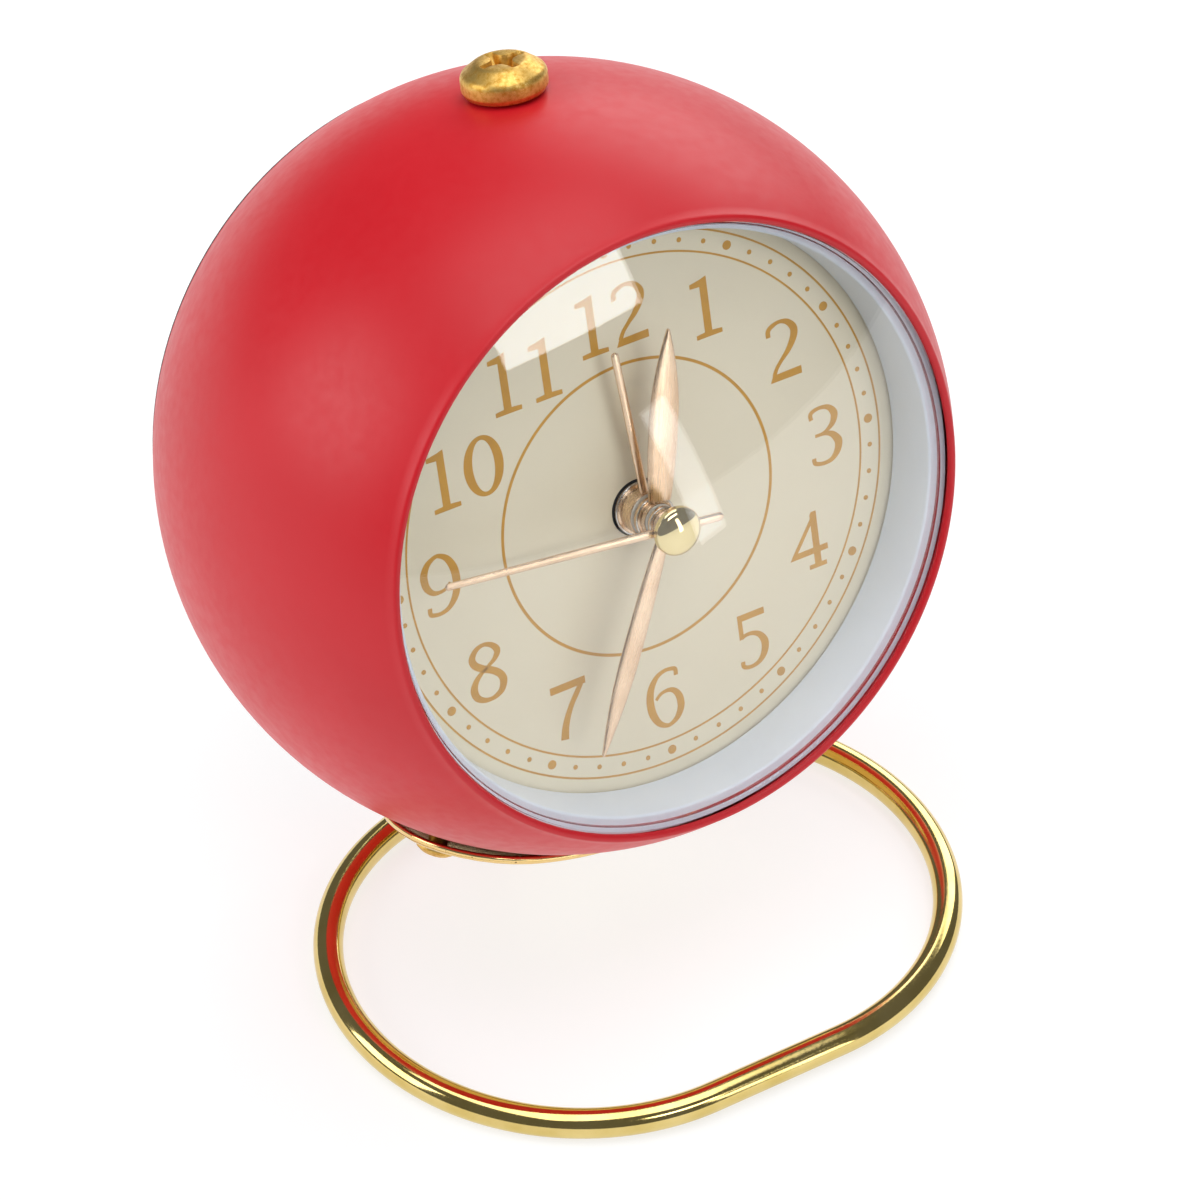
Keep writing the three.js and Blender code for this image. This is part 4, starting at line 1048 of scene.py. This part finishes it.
def pan_screw(head, height, shank, length, slot):
    """A pan-head cross-recess screw along Z, its seat at z = 0, with a ridged thread."""
    dome = rounded([
        (0, height, 0),
        (head * 0.62, height, head * 0.35),
        (head, height * 0.62, height * 0.3),
        (head, height * 0.16, height * 0.14),
        (head * 0.93, 0, height * 0.05),
        (shank, 0, 0.1),
        (shank, -THREAD_END, 0),
    ], closed=False, steps=8)
    thread = []
    z = -THREAD_END
    while z - THREAD_PITCH > THREAD_END - length:
        for share, size in ((0.15, 1), (0.5, 0.84), (0.85, 1)):
            thread.append((shank * size, z - THREAD_PITCH * share))
        z -= THREAD_PITCH
    tip = [(shank, THREAD_END - length), (shank * 0.6, -length), (0, -length)]
    body = moved(lathe([*dome, *thread, *tip]), QUARTER_TURN)
    sunk = cut(body, recess(slot * RECESS_ARM, slot, slot * RECESS_BEND, height, height * 0.6))
    return soften(sunk, height * 0.035, angle=40)


def hex_nut(corner, bore, z0, z1):
    outlines = [ellipse(corner, corner, steps=6), circle(bore)]
    return moved(plate(outlines, z0, z1, 0.25), QUARTER_TURN)


def screw_place(node, turn=0.0):
    """A frame at the ball's centre whose Z runs out along a screw, and the screw's two ends on it."""
    along = ray_frame(node)
    out = along.col[2].to_3d()
    heights = [corner.dot(out) for corner in corners(node)]
    return CLOCK @ along @ Matrix.Rotation(turn, 4, "Z"), min(heights), max(heights)


SMALL_HEAD = (2.7, 1.8)
SMALL_SLOT = 1.5
# CAD node, piece, head radius, head height, shank radius, half slot and turn
BALL_SCREWS = (
    ("top_screw", "top_screw_pan_head", 5.5, 4.1, 2.4, 3.1, radians(5)),
    ("strap_screw_left", "strap_screw_left_head", *SMALL_HEAD, 1.4, SMALL_SLOT, 0.4),
    ("strap_screw_right", "strap_screw_right_head", *SMALL_HEAD, 1.4, SMALL_SLOT, 1.1),
)

for node, name, head, height, shank, slot, turn in BALL_SCREWS:
    place, low, high = screw_place(node, turn)
    seat = high - height
    shape = moved(pan_screw(head, height, shank, seat - low, slot), Matrix.Translation((0, 0, seat)))
    piece(name, shape, SCREW_GOLD, "root", [node], place, sharp=50)

for node, corner, bore, screw in (
    ("top_nut", 4.6, 2.6, "top_screw"),
    ("strap_nut_left", 3.2, 1.6, "strap_screw_left"),
    ("strap_nut_right", 3.2, 1.6, "strap_screw_right"),
):
    place = screw_place(screw)[0]
    low, high = screw_place(node)[1:]
    piece(node + "_hexagon", hex_nut(corner, bore, -high, -low), STEEL, "root", [node], place)

# ---- stand


def rounded_ring(inset, steps=8):
    """The strap's outline pulled in by a distance, always with the same number of points."""
    half_x = STRAP_LENGTH / 2 - inset
    half_y = max(STRAP_WIDTH / 2 - inset, 0)
    corner = max(STRAP_CORNER - inset, 0)
    points = []
    for index, (sx, sy) in enumerate(((1, 1), (-1, 1), (-1, -1), (1, -1))):
        x, y = sx * (half_x - corner), sy * (half_y - corner)
        arc = turns(steps, pi / 2 * index, pi / 2, True)
        points += [(x + corner * cos(a), y + corner * sin(a)) for a in arc]
        following, count = ((-x, sy * half_y), 40) if index in (0, 2) else ((sx * half_x, -y), 10)
        points += straight(points[-1], following, count)[1:]
    return points


def straight(start, end, steps):
    """Points from one end up to, but not with, the other."""
    return [Vector(start).lerp(Vector(end), i / steps) for i in range(steps)]


def strap():
    """A stamped strip, dished a little flatter than the ball, with a rolled edge all round."""
    shape = bmesh.new()
    half = STRAP_THICKNESS / 2
    flat = [STRAP_WIDTH / 2 * share for share in (1, 0.92, 0.84, 0.74, 0.64, 0.53, 0.42, 0.31, 0.2, 0.1)]
    edge = turns(10, -pi / 2, pi, True)
    section = [(inset, -half) for inset in flat]
    section += [(half * (1 - cos(a)), half * sin(a)) for a in edge]
    section += [(inset, half) for inset in reversed(flat)]
    rings = []
    for inset, height in section:
        radius = STRAP_INNER_RADIUS + half + height
        ring = []
        for x, y in rounded_ring(inset):
            z = STRAP_RISE - sqrt(radius ** 2 - x * x - y * y)
            ring.append(shape.verts.new((x, y, z)))
        rings.append(ring)
    skin(shape, rings)
    bmesh.ops.remove_doubles(shape, verts=shape.verts, dist=WELD)
    return cut(shape, *[ray_drill(STRAP_SCREW_HOLE, node) for node in STRAP_SCREWS])


LEG_X = 3.5
LEG_WELD_RADIUS = 54.8
LEG_TOP_Y = (-9.5, -3)
FOOT_BEND = 4.5
TOP_BEND = 6
WELD_BEAD = (3.1, 4.2, 1.15)
WELD_RADIUS = 55.9


def wire_points():
    """The stand's centre line about the ball's centre, upright: a long loop that lies flat, whose
    two ends meet behind and rise side by side to the strap."""
    low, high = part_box("stand_wire")
    low = (low - CENTRE) / MM
    high = (high - CENTRE) / MM
    z = low.z + WIRE_RADIUS
    end_radius = (high.y - low.y) / 2 - WIRE_RADIUS
    centre_y = (high.y + low.y) / 2
    half_straight = high.x - end_radius - WIRE_RADIUS
    rear_y = centre_y + end_radius
    front_y = centre_y - end_radius
    right = straight((0, front_y, z), (half_straight, front_y, z), 8)
    for a in turns(72, -pi / 2, pi, True):
        round_end = (half_straight + end_radius * cos(a), centre_y + end_radius * sin(a), z)
        right.append(Vector(round_end))
    foot = Vector((LEG_X, rear_y, z))
    loop_end = Vector((half_straight, rear_y, z))
    top, bend = (
        Vector((LEG_X, y, -sqrt(LEG_WELD_RADIUS ** 2 - LEG_X ** 2 - y * y))) for y in LEG_TOP_Y
    )
    right += fillet(loop_end, foot, bend, FOOT_BEND, 14)
    right += fillet(foot, bend, top, TOP_BEND, 8)
    right.append(top)
    left = [Vector((-point.x, point.y, point.z)) for point in right[1:]]
    return [*reversed(left), *right]


def weld_bead(side):
    """A low bead of solder that joins one leg's end to the strap."""
    shape = bmesh.new()
    across, along, rise = WELD_BEAD
    middle_y = sum(LEG_TOP_Y) / 2 - 0.6
    rings = []
    for i, a in enumerate(turns(10, 0, pi, True)):
        rings.append([])
        for b in turns(24 if 0 < i < 10 else 1):
            uneven = 1 + 0.06 * sin(3 * b + side) + 0.04 * sin(5 * b)
            x = side * LEG_X + across * sin(a) * cos(b) * uneven
            y = middle_y - along * cos(a)
            swell = rise * sin(a) * sin(b) * uneven
            z = swell - sqrt(WELD_RADIUS ** 2 - x * x - y * y)
            rings[-1].append(shape.verts.new((x, y, z)))
    return skin(shape, rings)


piece("strap_plate", strap(), STRAP_GOLD, "root", ["stand_strap"], sharp=50)
for name, shape, replaced in (
    ("wire_loop", sweep(wire_points(), WIRE_RADIUS), ["stand_wire"]),
    ("weld_bead_left", weld_bead(-1), ()),
    ("weld_bead_right", weld_bead(1), ()),
):
    piece(name, shape, STAND_GOLD, "root", replaced, UPRIGHT, 60)

# ---- rear cover and what it carries

PILLARS = [(0, 33.5), (34, -7.2), (-34, -7.2)]
BATTERY_Z = middle("battery_door").z
SWITCH_Z = middle("alarm_switch").z
KNOBS = {"time_set_knob": "time_knob", "alarm_set_knob": "alarm_knob"}
KNOB_PLACES = {node: (round(middle(node).x, 2), round(middle(node).z, 2)) for node in KNOBS}
SPEAKER_SLOTS = (-3.6, -0.8, 2)
COVER_RADIUS = 43.7
SPIGOT_RADIUS = 42.6
SPIGOT_Y = 22.4
SPIGOT_WALL = 1
COVER_RIM_RADIUS = 41.4
SHOULDER_RADIUS = 40.6
SHOULDER_Y = 25.6
DISH_RADIUS = 38.9
DISH_BEND = 0.3
BOSS_RADIUS = 3.4
SCREW_HOLE = 1.7
SHAFT_HOLE = 1.9
THROUGH_Y = 20
CAVITY = (27.1, 7.5, 1, (0, BATTERY_Z))
REBATE = (28.4, 8.75, 1.3, (0, BATTERY_Z))
BAY = (29.6, 9.75, 2, (0, BATTERY_Z))
DOOR = (28.1, 8.45)
CAVITY_Y = 8.6
BAY_Y = 7.4
BOSS_Y = 15.3


def rear_cover():
    inside = PANEL_Y - PANEL_THICKNESS
    outside = PANEL_Y + 1
    back = span("rear_cover", 1)[1]
    flange = REAR_Y + 0.3
    dish = lathe(rounded([
        (0, inside, 0),
        (DISH_RADIUS - DISH_BEND, inside, 1),
        (SHOULDER_RADIUS, SHOULDER_Y, 0.4),
        (SPIGOT_RADIUS - SPIGOT_WALL, SHOULDER_Y, 0),
        (SPIGOT_RADIUS - SPIGOT_WALL, SPIGOT_Y, 0.2),
        (SPIGOT_RADIUS, SPIGOT_Y, 0.2),
        (SPIGOT_RADIUS, flange, 0.1),
        (COVER_RADIUS, flange, 0.1),
        (COVER_RADIUS, flange + 0.4, 0.15),
        (COVER_RADIUS - 0.4, back, 0.15),
        (COVER_RIM_RADIUS, back, 0.6),
        (DISH_RADIUS, PANEL_Y, 0.8),
        (0, PANEL_Y, 0),
    ], closed=False), 160)
    bosses = [peg(BOSS_RADIUS, at, BOSS_Y, inside + 0.5) for at in PILLARS]
    screw_holes = gather(*[peg(SCREW_HOLE, at, BOSS_Y - 1.3, outside) for at in PILLARS])
    slots = gather(*[block(12, 0.7, 0.69, (0, z), THROUGH_Y, outside) for z in SPEAKER_SLOTS])
    shaft_holes = gather(*[peg(SHAFT_HOLE, at, THROUGH_Y, outside) for at in KNOB_PLACES.values()])
    switch_slot = block(4.1, 1.6, 0.6, (0, SWITCH_Z), THROUGH_Y, outside)
    body = cut(
        join(dish, block(*BAY, BAY_Y, inside + 0.5), *bosses),
        block(*CAVITY, CAVITY_Y, outside), block(*REBATE, PANEL_Y - 1.5, outside),
        screw_holes, slots, shaft_holes, switch_slot,
    )
    return soften(body, 0.12, angle=45)


KNOB_SEAT = (7.1, 7.7)


def knob_seat(at):
    """A low raised ring on the cover round each knob."""
    inner, outer = KNOB_SEAT
    top = PANEL_Y + 0.25
    ring = rounded([(inner, PANEL_Y, 0), (inner, top, 0.1), (outer, top, 0.1), (outer, PANEL_Y, 0)], steps=3)
    return moved(lathe(ring, 72), Matrix.Translation((at[0], 0, at[1])))


def battery_door():
    half_x, half_z = DOOR
    front = span("battery_door", 1)[0]
    grip_z = BATTERY_Z + half_z - 3
    door = block(half_x, half_z, 1.2, (0, BATTERY_Z), front, PANEL_Y, 0.2)
    grip = block(5, 1.2, 0.8, (0, grip_z), PANEL_Y - 0.6, PANEL_Y + 1)
    sunk = soften(cut(door, grip), 0.08, angle=50)
    ribs = [block(0.35, 1.15, 0.3, (x, grip_z), PANEL_Y - 0.9, PANEL_Y - 0.02, 0.15)
            for x in (-3, -1.5, 0, 1.5, 3)]
    return gather(sunk, *ribs)


def fluted_knob(radius, front, back, flutes=18):
    """A moulded knob with round flutes, a crowned rim and a dished face with a pointer bar."""
    shape = bmesh.new()
    face = back - 0.35
    levels = [
        (front, 0.0, 0.94), (front + 0.3, 1.0, 1.0), (back - 0.7, 1.0, 1.0), (back - 0.25, 0.7, 0.97),
        (back, 0.2, 0.9), (back, 0.0, 0.8), (face, 0.0, 0.74), (face, 0.0, 0.4),
    ]
    rings = [[shape.verts.new((0, front, 0))]]
    for y, flute, share in levels:
        ring = []
        for a in turns(flutes * 8):
            reach_out = radius * share - 0.5 * flute * (0.5 - 0.5 * cos(a * flutes)) ** 0.7
            ring.append(shape.verts.new((reach_out * sin(a), y, reach_out * cos(a))))
        rings.append(ring)
    rings.append([shape.verts.new((0, face, 0))])
    pointer = block(0.35, 1.6, 0.3, (0, radius * 0.44), back - 0.5, back, 0.1)
    return gather(skin(shape, rings), pointer)


def toothed(radius, teeth, front, back):
    root = radius * 0.8
    outline = []
    for i in range(teeth):
        for share, r in ((0, root), (0.3, root), (0.42, radius), (0.62, radius), (0.74, root)):
            a = TURN * (i + share) / teeth
            outline.append((r * sin(a), r * cos(a)))
    return plate([outline], front, back, 0.05)


KNOB_RADIUS = 6.5
KNOB_DEPTH = 5
SHAFT_RADIUS = 1.4
# pinion radius, teeth and thickness
PINIONS = {"time_set_knob": (2.4, 10, 0.9), "alarm_set_knob": (3.94, 10, 1.1)}


def setting_knobs():
    for node, body in KNOBS.items():
        x, z = KNOB_PLACES[node]
        start, back = span(node, 1)
        place = clock_place(x, 0, z)
        front = back - KNOB_DEPTH
        grip = fluted_knob(KNOB_RADIUS, front, back)
        near, far = start + 0.2, front + 0.5
        shaft = lathe([(0, near), (SHAFT_RADIUS, near), (SHAFT_RADIUS, far), (0, far)], 32)
        radius, teeth, thickness = PINIONS[node]
        pinion = toothed(radius, teeth, start, start + thickness)
        piece(node + "_grip", grip, BLACK_PLASTIC, body, [node], place, 40)
        piece(node + "_shaft", shaft, BLACK_PLASTIC, body, (), place)
        piece(node + "_pinion", pinion, GEAR_PLASTIC, body, (), place)
        piece(node + "_seat", knob_seat((x, z)), BLACK_PLASTIC, "root")


SLIDE_Y = 21.8


def alarm_switch():
    low, high = span("alarm_switch", 1)
    x = sum(span("alarm_switch", 0)) / 2
    at = (x, SWITCH_Z)
    thumb = block(2.5, 2.2, 0.5, at, PANEL_Y + 0.3, high - 0.3, 0.2)
    ridges = [block(0.22, 1.9, 0.2, (x + dx, SWITCH_Z), PANEL_Y + 1.2, high, 0.12)
              for dx in (-1.8, -0.9, 0, 0.9, 1.8)]
    neck = block(1.5, 1.2, 0.2, at, SLIDE_Y + 0.4, PANEL_Y + 0.5)
    slide = block(4, 2.6, 0.4, at, SLIDE_Y, SLIDE_Y + 1, 0.1)
    stem = block(1, 1.2, 0.2, at, low, SLIDE_Y + 0.2)
    return gather(thumb, *ridges, neck, slide, stem)


piece(
    "rear_cover_dish", rear_cover(), BLACK_PLASTIC, "root", ["rear_cover"], sharp=40,
)
piece(
    "battery_door_panel", battery_door(), BLACK_PLASTIC, "door", ["battery_door"],
    sharp=40,
)
setting_knobs()
piece(
    "alarm_switch_slider", alarm_switch(), WHITE_PLASTIC, "switch", ["alarm_switch"],
    sharp=40,
)

for index, (x, z) in enumerate(PILLARS):
    node = f"rear_cover_screw_{index + 1}"
    start, back = span(node, 1)
    seat = back - SMALL_HEAD[1]
    turned = QUARTER_TURN.inverted() @ Matrix.Rotation(0.5 + index, 4, "Z")
    screw = pan_screw(*SMALL_HEAD, 1.1, seat - start, SMALL_SLOT)
    piece(node + "_head", screw, STEEL, "root", [node], clock_place(x, seat, z) @ turned, sharp=50)

# ---- CAD nodes that keep their shape

CARRIED = (
    (FRAME_PLASTIC, ["inner_frame"]),
    (BLACK_PLASTIC, ["movement_front_case", "movement_back_case", "coil_bobbin", "clock_chip", "buzzer"]),
    (STEEL, ["movement_screw_1", "movement_screw_2", "rotor", "stator", "coil_core", "quartz_crystal",
             "battery_contact_positive", "battery_contact_negative"]),
    (GEAR_PLASTIC, ["alarm_wheel", "hour_wheel", "motion_wheel", "third_wheel", "second_wheel",
                    "intermediate_wheel"]),
    (BRASS, ["minute_wheel", "alarm_contact"]),
    (COPPER, ["coil_winding"]),
    (BOARD_GREEN, ["circuit_board"]),
    (BATTERY_JACKET, ["battery"]),
    (RED_CABLE, ["lead_positive"]),
    (BLACK_CABLE, ["lead_negative"]),
)

for node, material in ((node, material) for material, nodes in CARRIED for node in nodes):
    carried = frame["nodes"][node]
    carried.data.materials.clear()
    carried.data.materials.append(material)
    weld = carried.modifiers.new("weld", "WELD")
    weld.merge_threshold = 0.002 * MM
    bevel = carried.modifiers.new("edges", "BEVEL")
    bevel.width = 0.08 * MM
    bevel.segments = 2
    bevel.limit_method = "ANGLE"
    bevel.angle_limit = radians(50)
    carried.data.shade_smooth()
    carried.data.set_sharp_from_angle(angle=radians(35))

# ---- floor, lights and camera

FLOOR_GLOW = 0.72


def floor():
    mesh = bpy.data.meshes.new("floor")
    shape = bmesh.new()
    bmesh.ops.create_grid(shape, x_segments=8, y_segments=8, size=2.5)
    shape.to_mesh(mesh)
    shape.free()
    surface = plain(
        "pale_floor", (162, 162, 162), (158, 158, 159), (0.7, 0.8), mottle=60, grain=2, relief=0.02,
        Emission_Color=(1, 1, 1, 1), Emission_Strength=FLOOR_GLOW,
    )
    mesh.materials.append(surface.material)
    made = placed("floor", mesh)
    made.location.z = cad_box[0][2]


def direction(azimuth, elevation):
    """A way out from the ball; azimuth 0 is in front of the clock, 90 at its right."""
    a = radians(azimuth)
    e = radians(elevation)
    return Vector((sin(a) * cos(e), -cos(a) * cos(e), sin(e)))


def softbox(name, azimuth, elevation, distance, size, radiance, roll=0.0):
    """A panel light that faces the ball, given by its place, its width and height, and its brightness."""
    out = direction(azimuth, elevation)
    data = bpy.data.lights.new(name, "AREA")
    data.shape = "RECTANGLE"
    data.size, data.size_y = size
    data.energy = radiance * pi * size[0] * size[1]
    light = placed(name, data)
    facing = out.to_track_quat("Z", "Y").to_matrix().to_4x4()
    turned = facing @ Matrix.Rotation(radians(roll), 4, "Z")
    light.matrix_world = Matrix.Translation(CENTRE + out * distance) @ turned
    light.visible_camera = False


ROOM_GLOW = 0.15


def studio():
    softbox("key_left", -110, 25, 1.6, (1.0, 0.9), 3.3)
    softbox("back_right", 128, 26, 1.6, (1.2, 1.0), 2.8)
    softbox("overhead", 0, 88, 1.7, (1.6, 1.6), 2.4)
    softbox("front_window", 12, 33.5, 1.5, (0.66, 0.22), 5.6)
    softbox("front_strip", 21.5, 5, 0.42, (0.036, 0.18), 3.0, roll=12)
    world = bpy.data.worlds.new("studio")
    world.use_nodes = True
    tree = world.node_tree
    tree.nodes.clear()
    output = tree.nodes.new("ShaderNodeOutputWorld")
    blend = tree.nodes.new("ShaderNodeMixShader")
    seen = tree.nodes.new("ShaderNodeLightPath")
    tree.links.new(seen.outputs["Is Camera Ray"], blend.inputs[0])
    backgrounds = (((0.98, 0.99, 1.0, 1), ROOM_GLOW), ((1, 1, 1, 1), 1.0))
    for socket, (colour, strength) in zip((1, 2), backgrounds):
        glow = tree.nodes.new("ShaderNodeBackground")
        glow.inputs["Color"].default_value = colour
        glow.inputs["Strength"].default_value = strength
        tree.links.new(glow.outputs[0], blend.inputs[socket])
    tree.links.new(blend.outputs[0], output.inputs["Surface"])
    bpy.context.scene.world = world
    bpy.context.scene.view_settings.view_transform = "Standard"


CAMERA_DISTANCE = 0.6995
CAMERA_AZIMUTH = -32.605
CAMERA_ELEVATION = 39.221
CAMERA_HEADING = 33.289
CAMERA_PITCH = -40.722
CAMERA_ROLL = 1.589
CAMERA_LENS = 163.58


def camera():
    data = bpy.data.cameras.new("camera")
    data.lens = CAMERA_LENS
    data.sensor_width = 36
    data.clip_start = 0.01
    made = placed("camera", data)
    place = CENTRE + direction(CAMERA_AZIMUTH, CAMERA_ELEVATION) * CAMERA_DISTANCE
    heading = Matrix.Rotation(-radians(CAMERA_HEADING), 4, "Z")
    pitch = Matrix.Rotation(radians(90 + CAMERA_PITCH), 4, "X")
    roll = Matrix.Rotation(radians(CAMERA_ROLL), 4, "Z")
    made.matrix_world = Matrix.Translation(place) @ heading @ pitch @ roll
    bpy.context.scene.camera = made


floor()
studio()
camera()

bpy.context.view_layer.update()
